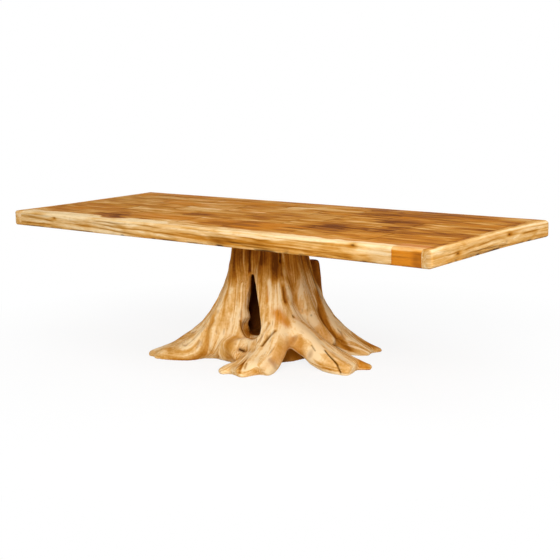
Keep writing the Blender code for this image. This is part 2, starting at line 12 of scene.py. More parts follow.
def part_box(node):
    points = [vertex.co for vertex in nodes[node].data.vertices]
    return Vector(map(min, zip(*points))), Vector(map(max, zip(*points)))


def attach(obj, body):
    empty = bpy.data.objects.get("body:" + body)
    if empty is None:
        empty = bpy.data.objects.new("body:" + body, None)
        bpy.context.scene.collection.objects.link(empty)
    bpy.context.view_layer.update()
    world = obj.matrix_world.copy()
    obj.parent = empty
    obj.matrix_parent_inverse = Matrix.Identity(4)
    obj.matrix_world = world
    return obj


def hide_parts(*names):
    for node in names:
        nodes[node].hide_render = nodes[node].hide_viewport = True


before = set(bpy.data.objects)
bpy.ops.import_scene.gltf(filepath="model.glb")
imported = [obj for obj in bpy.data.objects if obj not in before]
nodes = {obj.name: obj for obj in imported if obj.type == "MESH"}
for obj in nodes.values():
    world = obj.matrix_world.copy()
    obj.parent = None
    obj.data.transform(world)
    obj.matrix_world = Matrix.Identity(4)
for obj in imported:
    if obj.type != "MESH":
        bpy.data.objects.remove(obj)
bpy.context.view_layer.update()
scene = bpy.context.scene

# Sizes shared with the solids

TABLE_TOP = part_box("board_1_1")[1].z
STUMP_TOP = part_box("stump")[1].z
TABLE_LENGTH = 2.745
TABLE_WIDTH = 1.070
HALF_LENGTH = TABLE_LENGTH / 2
HALF_WIDTH = TABLE_WIDTH / 2
RAIL_DEPTH = 0.082
SIDE_RAIL_WIDTH = 0.105
END_RAIL_WIDTH = 0.046
REBATE_WIDTH = 0.025
BOARD_THICKNESS = 0.036
TOP_EDGE_RADIUS = 0.018
BOTTOM_EDGE_RADIUS = 0.014
CORNER_RADIUS = 0.022
SWELL_CORNER_RADIUS = 0.032
SWELL = 0.027
SWELL_LENGTH = 0.420
LIVE_EDGE_DEPTH = 0.006
CORNER_FADE = 0.150
WEAR_REACH = 0.040
TONGUE = 0.009
FIT_GAP = 0.0003

# Sizes of the looks alone
RAIL_PITCH = 0.0055
RAIL_ARRIS = 0.0012
BOARD_PITCH = 0.012
BOARD_ARRIS = 0.0016
CUT_OVER = 0.010
STUMP_VOXEL = 0.0045
FLOOR_RADIUS = 9.0
FLOOR_DROP = 0.0005
SKY_LIGHT = 0.36

# Millimetres in a metre, for the lists of lines and features
MM = 1000.0


# Noise

def hashed(ix, iy, iz, seed):
    """A number between 0 and 1 for every lattice point."""
    whole = np.uint64(0xFFFFFFFF)
    mixed = np.uint64(seed * 0x9E3779B9 & 0xFFFFFFFF)
    for cell, factor in ((ix, 0x8DA6B343), (iy, 0xD8163841), (iz, 0xCB1AB31F)):
        mixed = mixed ^ cell.astype(np.uint64) * np.uint64(factor)
    mixed = mixed & whole
    for shift, factor in ((15, 0x2C1B3C6D), (12, 0x297A2D39)):
        mixed = (mixed ^ mixed >> np.uint64(shift)) * np.uint64(factor) & whole
    mixed = mixed ^ mixed >> np.uint64(15)
    return mixed.astype(float) / 0xFFFFFFFF


def noise(points, scale, seed):
    """Smooth noise between -1 and 1, with so many cells per metre along each axis."""
    spot = points * np.asarray(scale, float) + 500.0
    base = np.floor(spot).astype(np.int64)
    part = spot - base
    soft = part ** 3 * (part * (part * 6 - 15) + 10)
    total = np.zeros(len(points))
    for corner in range(8):
        step = np.array([corner & 1, corner >> 1 & 1, corner >> 2 & 1])
        weight = np.prod(np.where(step, soft, 1 - soft), axis=1)
        total += weight * hashed(*(base + step).T, seed)
    return 2 * total - 1


def layers(points, scale, seed, octaves=3):
    """Noise of several sizes, each half as large and half as strong as the one before."""
    scale = np.asarray(scale, float)
    total = sum(noise(points, scale * 2 ** k, seed + k) / 2 ** k for k in range(octaves))
    return total / 1.5


def smooth(value, low=0.0, high=1.0):
    """0 below low, 1 above high, and a soft rise between them."""
    value = np.clip((value - low) / (high - low), 0.0, 1.0)
    return value * value * (3 - 2 * value)


# Pieces

def paint(mesh, name, values):
    """Keep one number or one vector for every point of a mesh, for its material."""
    values = np.asarray(values, np.float32)
    if values.ndim == 2:
        mesh.attributes.new(name, "FLOAT_VECTOR", "POINT").data.foreach_set("vector", values.ravel())
    else:
        mesh.attributes.new(name, "FLOAT", "POINT").data.foreach_set("value", values)


def vectors(items, key):
    """One vector for every item of a mesh."""
    values = np.empty(len(items) * 3, np.float32)
    items.foreach_get(key, values)
    return values.reshape(-1, 3).astype(float)


def set_points(mesh, places):
    mesh.vertices.foreach_set("co", np.asarray(places, np.float32).ravel())
    mesh.update()


def shown(name, data):
    """A new object in the scene."""
    made = bpy.data.objects.new(name, data)
    scene.collection.objects.link(made)
    return made


def settle(piece):
    """Apply a piece's modifiers to its mesh."""
    bpy.context.view_layer.update()
    ready = piece.evaluated_get(bpy.context.evaluated_depsgraph_get())
    mesh = bpy.data.meshes.new_from_object(ready)
    piece.modifiers.clear()
    piece.data = mesh
    return mesh


def place(name, mesh, skin, stands_for):
    """Show a mesh as a piece that stands for the named node."""
    piece = shown(name, mesh)
    mesh.materials.clear()
    mesh.materials.append(skin)
    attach(piece, "root")
    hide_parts(stands_for)


def swept_mesh(name, rings):
    """A closed mesh through rings of as many points each, capped at both ends."""
    count, around = len(rings), len(rings[0])
    verts = np.concatenate(rings)
    faces = []
    for k in range(count - 1):
        low, high = k * around, (k + 1) * around
        for j in range(around):
            nxt = (j + 1) % around
            faces.append((low + j, low + nxt, high + nxt, high + j))
    faces.append(tuple(range(around))[::-1])
    faces.append(tuple(range((count - 1) * around, count * around)))
    mesh = bpy.data.meshes.new(name)
    mesh.from_pydata(verts.tolist(), [], faces)
    bm = bmesh.new()
    bm.from_mesh(mesh)
    bmesh.ops.recalc_face_normals(bm, faces=bm.faces)
    bm.to_mesh(mesh)
    bm.free()
    return mesh


# Materials

class Graph:
    """The nodes of a new material or world."""

    def __init__(self, made):
        self.made = made
        made.use_nodes = True
        self.tree = made.node_tree
        self.tree.nodes.clear()

    def node(self, kind, inputs=None, **settings):
        made = self.tree.nodes.new("ShaderNode" + kind)
        for key, value in settings.items():
            setattr(made, key, value)
        for key, value in (inputs or {}).items():
            if isinstance(value, bpy.types.NodeSocket):
                self.tree.links.new(value, made.inputs[key])
            else:
                made.inputs[key].default_value = value
        return made

    def attribute(self, name, output="Fac"):
        return self.node("Attribute", attribute_name=name).outputs[output]

    def stretch(self, vector, scale, shift=(0, 0, 0)):
        ins = {"Vector": vector, "Scale": scale, "Location": shift}
        return self.node("Mapping", ins).outputs["Vector"]

    def noise(self, vector, scale, detail, rough, bend=0.0):
        ins = {"Vector": vector, "Scale": scale, "Detail": detail, "Roughness": rough, "Distortion": bend}
        return self.node("TexNoise", ins).outputs["Fac"]

    def sum(self, first, second, by=None, operation="ADD"):
        """first + second, or first + second * by."""
        if by is not None:
            ins = {0: second, 1: by, 2: first}
            return self.node("Math", ins, operation="MULTIPLY_ADD").outputs[0]
        return self.node("Math", {0: first, 1: second}, operation=operation).outputs[0]

    def span(self, value, low, high, to_low=0.0, to_high=1.0):
        ins = {"Value": value, "From Min": low, "From Max": high, "To Min": to_low, "To Max": to_high}
        return self.node("MapRange", ins).outputs["Result"]

    def ramp(self, value, stops):
        made = self.node("ValToRGB", {"Fac": value})
        band = made.color_ramp
        while len(band.elements) < len(stops):
            band.elements.new(0.5)
        for element, (position, colour) in zip(band.elements, stops):
            element.position = position
            element.color = (*colour, 1.0)
        return made.outputs["Color"]

    def mix(self, share, under, over):
        """A share of one fixed colour over another colour."""
        ins = {0: share, 6: under, 7: (*over, 1.0)}
        return self.node("Mix", ins, data_type="RGBA", blend_type="MIX").outputs[2]

    def finish(self, colour, roughness, height, depth, strength, settings):
        bump = self.node("Bump", {"Height": height, "Distance": depth, "Strength": strength})
        ins = {"Base Color": colour, "Roughness": roughness, "Normal": bump.outputs["Normal"], **settings}
        shader = self.node("BsdfPrincipled", ins)
        self.node("OutputMaterial", {"Surface": shader.outputs["BSDF"]})
        return self.made


# CREAM, the palest tone, is partly a painted highlight where the rim's top edge rounds over
CREAM = (0.88, 0.66, 0.37)
PALE = (0.79, 0.50, 0.208)
STRAW = (0.64, 0.330, 0.082)
GOLD = (0.490, 0.192, 0.019)
BROWN = (0.32, 0.102, 0.009)
DARK = (0.150, 0.040, 0.005)
ORANGE = (0.58, 0.195, 0.010)
# near-black of knots and cracks, also used as painted shade inside hollows and creases
BARK_AND_SHADE = (0.042, 0.010, 0.002)
TONES = ((0.0, CREAM), (0.12, PALE), (0.3, STRAW), (0.52, GOLD), (0.76, BROWN), (1.0, DARK))


def varnished(name, streak, flame, orange, gloss, level,
              tones=TONES, fine=0.45, pore=(26, 420), marks=0.45):
    """Varnished wood: a painted tone, streaked along the grain, with flecks, pores, and dark hollows that
    are partly painted shade.
    """
    g = Graph(bpy.data.materials.new(name))
    grain = g.attribute("grain", "Vector")
    tone = g.attribute("tone")
    hollow = g.attribute("hollow")
    long = g.noise(g.stretch(grain, (1.6, 26, 26)), 1.0, 4.0, 0.6)
    flames = g.noise(g.stretch(grain, (5, 21, 21), (3, 7, 1)), 1.0, 3.0, 0.55, 1.4)
    lines = g.noise(g.stretch(grain, (3.5, 120, 120), (1, 2, 5)), 1.0, 3.0, 0.6, 0.4)
    fibre = g.noise(g.stretch(grain, (30, 700, 700), (9, 4, 2)), 1.0, 2.0, 0.6)
    shade = g.sum(tone, g.sum(long, -0.5), streak)
    shade = g.sum(shade, g.sum(flames, -0.5), flame)
    shade = g.sum(shade, g.sum(lines, -0.5), fine)
    shade = g.sum(shade, g.sum(fibre, -0.5), 0.18)
    colour = g.ramp(shade, tones)
    blush = g.noise(g.stretch(grain, (2.2, 8, 8), (5, 5, 5)), 1.0, 2.0, 0.5, 0.6)
    stain = g.sum(g.span(blush, 0.48, 0.72, 0.0, orange), g.attribute("blush"))
    stain = g.node("Clamp", {"Value": stain, "Max": 0.85}).outputs[0]
    colour = g.mix(stain, colour, ORANGE)
    pits = g.noise(g.stretch(grain, (pore[0], pore[1], pore[1]), (2, 8, 8)), 1.0, 1.0, 0.5)
    pores = g.span(pits, 0.62, 0.76, 0.0, marks)
    colour = g.mix(pores, colour, BROWN)
    # hollow share: the dark of knots and veins, and painted shade in hollows and creases
    colour = g.mix(hollow, colour, BARK_AND_SHADE)
    rough = g.span(long, 0.3, 0.7, gloss, gloss + 0.14)
    height = g.sum(g.sum(fibre, lines, 1.2), flames, 0.6)
    return g.finish(colour, rough, height, 0.0012, 0.35, {"Specular IOR Level": level})


BLOCK_TONES = ((0.0, PALE), (0.2, (0.66, 0.30, 0.055)), (0.5, (0.55, 0.19, 0.014)),
               (0.8, (0.40, 0.12, 0.010)), (1.0, (0.20, 0.052, 0.006)))
board_skin = varnished("board_wood", 0.92, 0.92, 0.34, 0.42, 0.003)
rim_skin = varnished("rim_wood", 0.70, 0.55, 0.10, 0.40, 0.007, fine=0.60)
block_skin = varnished("block_wood", 0.40, 0.40, 0.45, 0.40, 0.030, BLOCK_TONES)
root_skin = varnished("root_wood", 0.52, 0.28, 0.06, 0.42, 0.004, fine=1.20, pore=(15, 170), marks=0.60)


def sawn(name, axis):
    """Plain sawn timber under the top, with its grain along one axis."""
    g = Graph(bpy.data.materials.new(name))
    place_in = g.node("TexCoord").outputs["Object"]
    along = [90.0, 90.0, 90.0]
    along[axis] = 4.0
    grain = g.stretch(place_in, along)
    rings = g.noise(grain, 0.5, 4.0, 0.6, 0.5)
    fibre = g.noise(grain, 6.0, 2.0, 0.6)
    saw = [30.0, 30.0, 30.0]
    saw[axis] = 260.0
    marks = g.noise(g.stretch(place_in, saw), 1.0, 2.0, 0.5)
    shade = g.sum(g.sum(rings, fibre, 0.35), -0.15)
    colour = g.ramp(shade, (
        (0.25, (0.62, 0.42, 0.22)), (0.5, (0.50, 0.31, 0.14)), (0.78, (0.33, 0.18, 0.07)),
    ))
    rough = g.span(fibre, 0.3, 0.7, 0.62, 0.82)
    height = g.sum(g.sum(fibre, rings, 0.8), marks, 0.7)
    return g.finish(colour, rough, height, 0.0008, 0.5, {"Specular IOR Level": 0.25})


def zinc():
    """Zinc-plated steel of the screws."""
    g = Graph(bpy.data.materials.new("screw_steel"))
    place_in = g.node("TexCoord").outputs["Object"]
    cloud = g.noise(place_in, 420.0, 3.0, 0.6)
    scuff = g.noise(g.stretch(place_in, (300, 300, 2200)), 1.0, 2.0, 0.5)
    colour = g.ramp(cloud, ((0.3, (0.42, 0.42, 0.41)), (0.7, (0.66, 0.65, 0.62))))
    rough = g.span(scuff, 0.3, 0.7, 0.28, 0.48)
    return g.finish(colour, rough, scuff, 0.0002, 0.4, {"Metallic": 1.0})


# Figure of the top, seen as one painting that runs over the boards and the rails

# Patches of the field: middle along X and Y and half lengths along X and Y in millimetres, change of tone,
# orange blush
PATCHES = (
    # the dark and pale figure along the front
    (-700, -380, 160, 85, 0.32, 0), (-620, -430, 70, 40, 0.14, 0), (-300, -410, 200, 60, -0.24, 0),
    (-290, -300, 100, 50, -0.1, 0.2), (40, -330, 170, 110, 0.34, 0), (160, -380, 60, 50, 0.12, 0),
    (340, -310, 140, 80, 0.04, 0.45), (570, -210, 110, 100, 0.32, 0), (840, -330, 120, 60, -0.06, 0.25),
    (900, -100, 80, 100, 0.28, 0), (1130, -290, 120, 100, -0.06, 0.25), (1290, -170, 60, 100, 0.16, 0.1),
    # across the middle
    (-1080, -180, 180, 100, 0.1, 0.2), (-500, 50, 250, 60, -0.12, 0.1), (570, 80, 60, 90, -0.1, 0.2),
    (740, 130, 70, 90, 0.3, 0), (950, 180, 180, 30, 0.14, 0.1), (1080, 70, 160, 30, -0.08, 0.2),
    (1250, 220, 70, 40, 0.1, 0.4),
    # along the back
    (-1000, 450, 250, 50, 0.14, 0), (-750, 350, 140, 50, -0.1, 0.3), (-420, 330, 200, 70, 0, 0.4),
    (170, 340, 200, 40, -0.16, 0.1), (480, 440, 90, 50, 0.26, 0), (1000, 450, 260, 50, 0.14, 0),
)


def field_paint(x, y):
    """Tone and orange blush of the top's field at places on it."""
    spot = np.stack([x, y, 0 * x], axis=1)
    ragged_x = x + 0.13 * layers(spot, (5, 44, 1), 201, 2)
    ragged_y = y + 0.030 * layers(spot, (6, 15, 1), 203, 2)
    tone = np.full(len(x), 0.50)
    blush = np.zeros(len(x))
    for *sizes, change, orange in PATCHES:
        middle_x, middle_y, reach_x, reach_y = np.array(sizes) / MM
        apart = np.maximum(np.abs(ragged_x - middle_x) / reach_x, np.abs(ragged_y - middle_y) / reach_y)
        near = 1 - smooth(apart, 0.60, 1.14)
        tone += 1.20 * change * near
        blush += 1.2 * orange * near
    slanted = np.stack([x + 0.7 * y, y, 0 * x], axis=1)
    tone += 0.24 * layers(slanted, (4.2, 18, 1), 205, 2) + 0.18 * layers(slanted, (8, 40, 1), 207, 2)
    tone = np.where(tone < 0.36, 0.36 + 0.45 * (tone - 0.36), tone)
    tone += 0.14 * np.tanh(3.0 * layers(slanted, (4.5, 30, 1), 213, 2)) * smooth(x, 0.30, 0.80)
    tone += 0.17 * smooth(x, 0.40, 1.05) - 0.13 * smooth(-x, 0.3, 1.0) * smooth(y, -0.3, 0.2)
    blush += 0.5 * smooth(layers(slanted, (3.0, 11, 1), 209, 2), 0.25, 0.75)
    band = smooth(0.12 - np.abs(ragged_y + 0.31), 0.0, 0.05)
    blush += 0.35 * band * smooth(0.60 - np.abs(x + 0.10), 0.0, 0.2)
    return tone, blush


# How far the pale sapwood of the front rail reaches in from the outer edge, along X
SAPWOOD_X = (-1.37, -1.20, -0.98, -0.76, -0.70, -0.60, -0.54, -0.28, -0.20, 0.10, 0.30, 0.70, 0.85,
             1.17, 1.37)
SAPWOOD = (0.06, 0.10, 0.125, 0.115, 0.055, 0.055, 0.14, 0.14, 0.050, 0.048, 0.062, 0.060, 0.075,
           0.060, 0.05)
RIM_SAPWOOD = {"back": 0.014, "right": 0.032, "left": 0.018}


# Rim rails, drawn with X along the rail, Y inward from the outer face and Z up from the top face

def live_edge(along, height, seed):
    """How deep the live edge is worn, between 0 and 1, as in the solids."""
    slow = np.sin(3.1 * along + 1.7 * seed) + 0.7 * np.sin(7.3 * along + 2.9 * seed)
    lean = np.sin(2.2 * along + 45.0 * height + 0.8 * seed)
    return 0.5 + (slow + 0.8 * lean) / 5.0


def run(first, last, pitch):
    """Points from first to last, the last left out, about a pitch apart."""
    first, last = np.asarray(first, float), np.asarray(last, float)
    count = max(1, round(np.linalg.norm(last - first) / pitch))
    return [first + (last - first) * k / count for k in range(count)]


def spread(stations, outline):
    """An outline repeated at every station: place along, across and up of each point."""
    count = len(stations)
    return np.repeat(stations, len(outline)), np.tile(outline[:, 0], count), np.tile(outline[:, 1], count)


def rail_outline(width):
    """Close-set outline of a rail's end: inward from the outer face, and up from the top face."""
    rebate = -(BOARD_THICKNESS + FIT_GAP)
    top_r, low_r = TOP_EDGE_RADIUS, BOTTOM_EDGE_RADIUS
    ledge = width + REBATE_WIDTH
    points = run((ledge, -RAIL_DEPTH), (ledge, rebate), 0.012)
    points += run((ledge, rebate), (width, rebate), 0.012)
    points += run((width, rebate), (width, -RAIL_ARRIS), 0.012)
    points += [np.array((width, -RAIL_ARRIS)), np.array((width - RAIL_ARRIS / 3, -RAIL_ARRIS / 3))]
    points += run((width - RAIL_ARRIS, 0.0), (top_r, 0.0), 0.006)
    turns = [math.radians(90) * k / 9 for k in range(9)]
    points += [np.array((top_r * (1 - math.sin(a)), -top_r * (1 - math.cos(a)))) for a in turns]
    points += run((0.0, -top_r), (0.0, -RAIL_DEPTH + low_r), 0.0028)
    turns = [math.radians(90) * k / 7 for k in range(7)]
    points += [np.array((low_r * (1 - math.cos(a)), -RAIL_DEPTH + low_r * (1 - math.sin(a)))) for a in turns]
    points += run((low_r, -RAIL_DEPTH), (ledge, -RAIL_DEPTH), 0.010)
    return np.array(points)


def fallen(left, radius):
    """How far a rounded edge has fallen away at this distance from its end."""
    short = radius - np.clip(left, 0.0, radius)
    return radius - np.sqrt(radius ** 2 - short ** 2)


def rail_rings(start, end, width, corners):
    """Rings of points along a rail in its own frame, close together at rounded corners."""
    outline = rail_outline(width)
    count = round((end - start) / RAIL_PITCH)
    stations = np.linspace(start, end, count + 1)
    if corners:
        bend = 1 - np.cos(np.radians(np.arange(0, 91, 9)))
        first, last = corners
        inner = stations[(stations > start + first + 0.003) & (stations < end - last - 0.003)]
        stations = np.concatenate([start + first * bend, inner, (end - last * bend)[::-1]])
    else:
        stations = np.concatenate([[start, start + 0.0008], stations[1:-1], [end - 0.0008, end]])
    return *spread(stations, outline), len(outline)


def rail_mesh(name, side, start, end, seed, features, streaks):
    """One rail, worn as its solid is, with flutes, knots and chips in its face, painted for its material."""
    if side in ("left", "right"):
        width, side_reach = END_RAIL_WIDTH, HALF_WIDTH
        corners, swell = (CORNER_RADIUS, SWELL_CORNER_RADIUS), SWELL
    else:
        width, side_reach = SIDE_RAIL_WIDTH, HALF_LENGTH
        corners, swell = None, 0.0
    along, inward, height, around = rail_rings(start, end, width, corners)
    own = np.stack([along, inward, height], axis=1)
    outer = 1 - smooth(inward / max(0.6 * width, WEAR_REACH))
    flush = 0.0 if corners else END_RAIL_WIDTH
    fade = smooth((side_reach - flush - np.abs(along)) / CORNER_FADE)
    wear = LIVE_EDGE_DEPTH * live_edge(along, height, seed) * fade
    wear -= swell * smooth(1 - (end - along) / SWELL_LENGTH)
    left = np.maximum(0.0, np.minimum(along - start, end - along))
    ends = smooth(left, 0.0, 0.030)
    if corners:
        ends = 1.0
        for gone, radius in ((along - start, corners[0]), (end - along, corners[1])):
            wear += fallen(gone, radius)
            height = np.minimum(height, -fallen(gone, TOP_EDGE_RADIUS))
            height = np.maximum(height, -RAIL_DEPTH + fallen(gone, BOTTOM_EDGE_RADIUS))
    # flutes along the outer face and over the edges
    face = smooth(1 - inward / 0.030)
    skew = height + 0.030 * along + 0.008 * np.sin(2.3 * along + seed)
    flow = np.stack([along, skew, 0 * along], 1)
    bands = layers(flow, (1.3, 36, 1), 12 + seed, 2)
    fluted = layers(flow, (2.2, 66, 1), 10 + seed, 2)
    ripple = layers(flow, (7, 150, 1), 20 + seed, 2)
    veins = np.exp(-(layers(flow, (1.5, 44, 1), 16 + seed, 2) / 0.15) ** 2)
    veins *= smooth(layers(flow, (3.0, 20, 1), 18 + seed, 2), -0.15, 0.35)
    groove = smooth(-fluted, 0.15, 0.75)
    sink = 0.0026 * groove + 0.0008 * smooth(-ripple, 0.1, 0.8) + 0.0004
    placing = rail_placing(side)
    worn = np.stack([along, inward + wear * outer, height], axis=1)
    world = worn @ placing[:3, :3].T + placing[:3, 3]
    # tone: pale sapwood along the outer edge of the top, partly a painted highlight on the rounded edge,
    # golden streaks on the face, and painted shade along the lower edge
    if side == "front":
        band = np.interp(along, SAPWOOD_X, SAPWOOD)
    else:
        band = np.full(len(along), RIM_SAPWOOD[side])
    band = band + 0.5 * band * layers(own * (1, 0, 0), (6, 1, 1), 30 + seed, 3)
    band = band + 0.014 * layers(own, (14, 60, 1), 33 + seed, 2)
    on_top = smooth(height, -0.016, -0.003)
    field, blush = field_paint(world[:, 0], world[:, 1])
    within = smooth(inward - band, -0.010, 0.012)
    inner = field - 0.06 + (0.06 if side == "right" else 0.0)
    edge = smooth(inward, 0.004, 0.024) * (0.16 if side == "right" else 0.0)
    # the pale outer band is sapwood, partly a painted highlight along the rounded top edge
    tone_top = (0.03 + 0.10 * ripple + edge) * (1 - within) + inner * within
    tone_face = face_tone(height, bands, fluted, veins)
    if side == "right":
        tone_face = 0.15 + 0.42 * (tone_face - 0.15)
        veins = 0.3 * veins
    if side == "front":
        tone_face = tone_face - 0.13 * smooth(0.15 - np.abs(along + 0.62), 0.0, 0.06)
        tone_face = tone_face - 0.05 * smooth(-along, 0.3, 0.6)
        tone_face = tone_face + 0.08 * smooth(0.16 - np.abs(along - 0.85), 0.0, 0.06)
    if name == "front_corner_block":
        veins = 0 * veins
        tone_face = 0.62 - 0.30 * bands - 0.50 * smooth(height, -0.018, -0.008)
        tone_face += 0.36 * smooth(along, 1.262, 1.300) + 0.16 * smooth(1.190 - along, 0.0, 0.02)
    tone = on_top * tone_top + (1 - on_top) * tone_face
    blush = blush * on_top * within + 0.25 * smooth(bands, -0.2, -0.6) * (1 - on_top)
    spots = smooth(layers(flow, (16, 30, 1), 24 + seed, 2), -0.1, 0.5)
    # painted shade in spots along the rounded lower edge of the face
    hollow = 0.70 * smooth(-height, 0.068, 0.081) * smooth(1 - inward / 0.02) * spots
    hollow += 0.50 * groove * smooth(ripple, -0.1, 0.5) * (1 - on_top) * face
    hollow += (0.06 + 0.26 * veins) * (1 - on_top) * face
    for kind, *sizes in features:
        x, z, reach, depth = np.array(sizes) / MM
        tall = {"knot": 0.45 * reach, "hollow": min(0.6 * reach, 0.009), "pale": 0.6 * reach}[kind]
        apart = np.hypot((along - x) / reach, (height - z) / tall)
        near = np.exp(-apart ** 2) * face
        sink = sink + depth * near
        if kind == "knot":
            tone = tone + 0.40 * np.exp(-(apart / 1.3) ** 2) * smooth(1 - inward / 0.05)
            hollow = hollow + 0.8 * np.exp(-(apart / 0.45) ** 2) * face
        elif kind == "hollow":
            hollow = hollow + 0.45 * near * smooth(spots, 0.1, 0.7)
        elif kind == "pale":
            clear = np.exp(-apart ** 4) * face * (1 - on_top)
            tone = tone * (1 - 0.8 * clear) + 0.08 * clear
            hollow = hollow * (1 - clear) + 0.22 * clear
    for x0, z0, x1, z1, thick in np.array(streaks) / MM:
        share = np.clip((along - x0) / (x1 - x0), 0.0, 1.0)
        wander = 0.0025 * noise(own * (1, 0, 0), (16, 1, 1), 70 + seed) + 0.25 * thick * ripple
        off = height - z0 - (z1 - z0) * share + wander
        tail = smooth(np.minimum(along - x0, x1 - along), -0.02, 0.05)
        near = np.exp(-(off / thick) ** 2) * tail * face
        near *= smooth(layers(own * (1, 0, 0) + (0.0, z0 * 40, 0.0), (11, 1, 1), 74 + seed, 2), -0.7, 0.3)
        tone = tone + 0.30 * near
        hollow = hollow + 0.22 * near
        sink = sink + 0.0010 * near
    if corners:
        grained = 1 - smooth(left, 0.004, 0.016)
        tone_end = 0.17 + 0.14 * ripple
        if side == "left":
            run_on = np.stack([world[:, 0], height + 0.030 * world[:, 0], 0 * along], 1)
            tone_end = face_tone(
                height, layers(run_on, (1.3, 36, 1), 13, 2), layers(run_on, (2.2, 66, 1), 11, 2), 0.0,
            ) - 0.10
        tone = tone * (1 - grained) + tone_end * grained
        hollow = hollow * (1 - 0.7 * grained) + 0.32 * grained * (side == "right")
    worn[:, 1] += sink * face * ends
    worn[:, 2] -= 0.0003 * smooth(noise(own, (40, 40, 1), 50 + seed), 0.0, 1.0) * on_top
    world = worn @ placing[:3, :3].T + placing[:3, 3]
    mesh = swept_mesh(name, np.split(world, len(world) // around))
    paint(mesh, "grain", own + (0.0, 0.31 * seed, 0.17 * seed))
    paint(mesh, "tone", np.clip(tone, -0.2, 1.2))
    paint(mesh, "blush", np.clip(blush, 0.0, 0.8))
    paint(mesh, "hollow", np.clip(hollow, 0.0, 0.95))
    return mesh


def face_tone(height, bands, fluted, veins):
    """Tone of a rail's outer face: golden streaks, dark veins, a pale upper edge, and a brown lower one that
    is painted shade under the rounded bottom edge.
    """
    tone = 0.20 - 0.20 * bands - 0.16 * fluted + 0.17 * smooth(-fluted, 0.15, 0.75) + 0.18 * veins
    return tone + 0.18 * smooth(-height, 0.066, 0.081) - 0.18 * smooth(height, -0.028, -0.014)


def rail_placing(side):
    """Turn a rail so its outer face looks out of the table on the given side."""
    turn = {"front": 0, "right": 90, "back": 180, "left": 270}[side]
    offset = HALF_WIDTH if side in ("front", "back") else HALF_LENGTH
    placing = Matrix.Translation((0, 0, TABLE_TOP)) @ Matrix.Rotation(math.radians(turn), 4, "Z")
    return np.array(placing @ Matrix.Translation((0, -offset, 0)))


def shade(mesh, degrees=35):
    """Smooth shading, broken at edges sharper than this."""
    mesh.shade_smooth()
    mesh.set_sharp_from_angle(angle=math.radians(degrees))


def repaint(mesh, source):
    """Give the points that a cut has added the paint of the nearest point of the uncut mesh."""
    places = vectors(source.vertices, "co")
    tree = KDTree(len(places))
    for k, spot in enumerate(places.tolist()):
        tree.insert(spot, k)
    tree.balance()
    for k, spot in enumerate(vectors(mesh.vertices, "co").tolist()):
        _, nearest, apart = tree.find(spot)
        if apart > 0.00002:
            for name in ("tone", "blush", "hollow"):
                mesh.attributes[name].data[k].value = source.attributes[name].data[nearest].value
            mesh.attributes["grain"].data[k].vector = source.attributes["grain"].data[nearest].vector


def notched(mesh, cutters):
    """Cut boxes out of a mesh."""
    piece = shown("blank", mesh)
    blades = []
    for low, high in cutters:
        bm = bmesh.new()
        bmesh.ops.create_cube(bm, size=1.0)
        bmesh.ops.scale(bm, vec=Vector(high) - Vector(low), verts=bm.verts)
        bmesh.ops.translate(bm, vec=(Vector(high) + Vector(low)) / 2, verts=bm.verts)
        box = bpy.data.meshes.new("cutter")
        bm.to_mesh(box)
        bm.free()
        blades.append(shown("cutter", box))
        piece.modifiers.new("cut", "BOOLEAN").object = blades[-1]
    ready = settle(piece)
    repaint(ready, mesh)
    for item in (piece, *blades):
        bpy.data.objects.remove(item)
    return ready


side_end = HALF_LENGTH - END_RAIL_WIDTH - FIT_GAP
block_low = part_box("front_corner_block")[0]

# Features of the outer faces in millimetres: kind, place along the rail, height, reach, depth
FRONT_FEATURES = (
    ("knot", -1040, -22, 14, 3), ("knot", 970, -10, 20, 4), ("hollow", 590, -70, 22, 12),
    ("pale", 1120, -45, 70, 0), ("hollow", 470, -80, 60, 3), ("hollow", -500, -74, 60, 3),
    ("hollow", -262, -76, 30, 2), ("hollow", 170, -76, 70, 3), ("hollow", 900, -78, 60, 2),
    ("hollow", 1060, -78, 20, 2),
)
BACK_FEATURES = (
    ("knot", -550, -35, 18, 3), ("hollow", 350, -79, 50, 4),
)
RIGHT_FEATURES = (
    ("knot", -304, -46, 22, 4), ("hollow", -315, -72, 26, 7), ("hollow", 110, -74, 44, 9),
    ("knot", 165, -24, 16, 3), ("pale", 146, -58, 14, 5), ("hollow", -136, -78, 40, 3),
    ("hollow", 330, -78, 50, 4), ("hollow", 30, -79, 40, 3),
)
LEFT_FEATURES = (
    ("knot", 120, -40, 18, 3), ("hollow", -250, -78, 40, 5),
)
# Dark streaks of the outer faces in millimetres: start, its height, end, its height, half thickness
FRONT_STREAKS = (
    (-720, -19, -400, -13, 3), (-640, -34, -90, -45, 3.6), (-360, -17, -200, -17, 2.6),
    (-1150, -36, -740, -50, 3.4), (-100, -34, 280, -47, 3.4), (600, -36, 860, -48, 3.2),
    (780, -57, 1060, -50, 3.2), (650, -60, 990, -70, 3), (-1300, -58, -950, -64, 3),
    (300, -24, 520, -30, 2.8),
)
RIGHT_STREAKS = (
    (-500, -41, -120, -34, 3.2), (-140, -34, 90, -25, 3.2), (270, -34, 510, -30, 3.4),
    (-300, -58, 20, -54, 3),
)


def ledge_cuts(hand):
    """Boxes where an end rail's ledge stops, because the side rails run up against it."""
    side_foot = SIDE_RAIL_WIDTH + REBATE_WIDTH + FIT_GAP
    cut_in = HALF_LENGTH - END_RAIL_WIDTH
    low, high = TABLE_TOP - RAIL_DEPTH - CUT_OVER, TABLE_TOP + CUT_OVER
    xs = sorted((hand * cut_in, hand * (cut_in - REBATE_WIDTH - CUT_OVER)))
    boxes = []
    for far in (-1, 1):
        ys = sorted((far * (HALF_WIDTH - side_foot), far * (HALF_WIDTH + CUT_OVER)))
        boxes.append(((xs[0], ys[0], low), (xs[1], ys[1], high)))
    return boxes


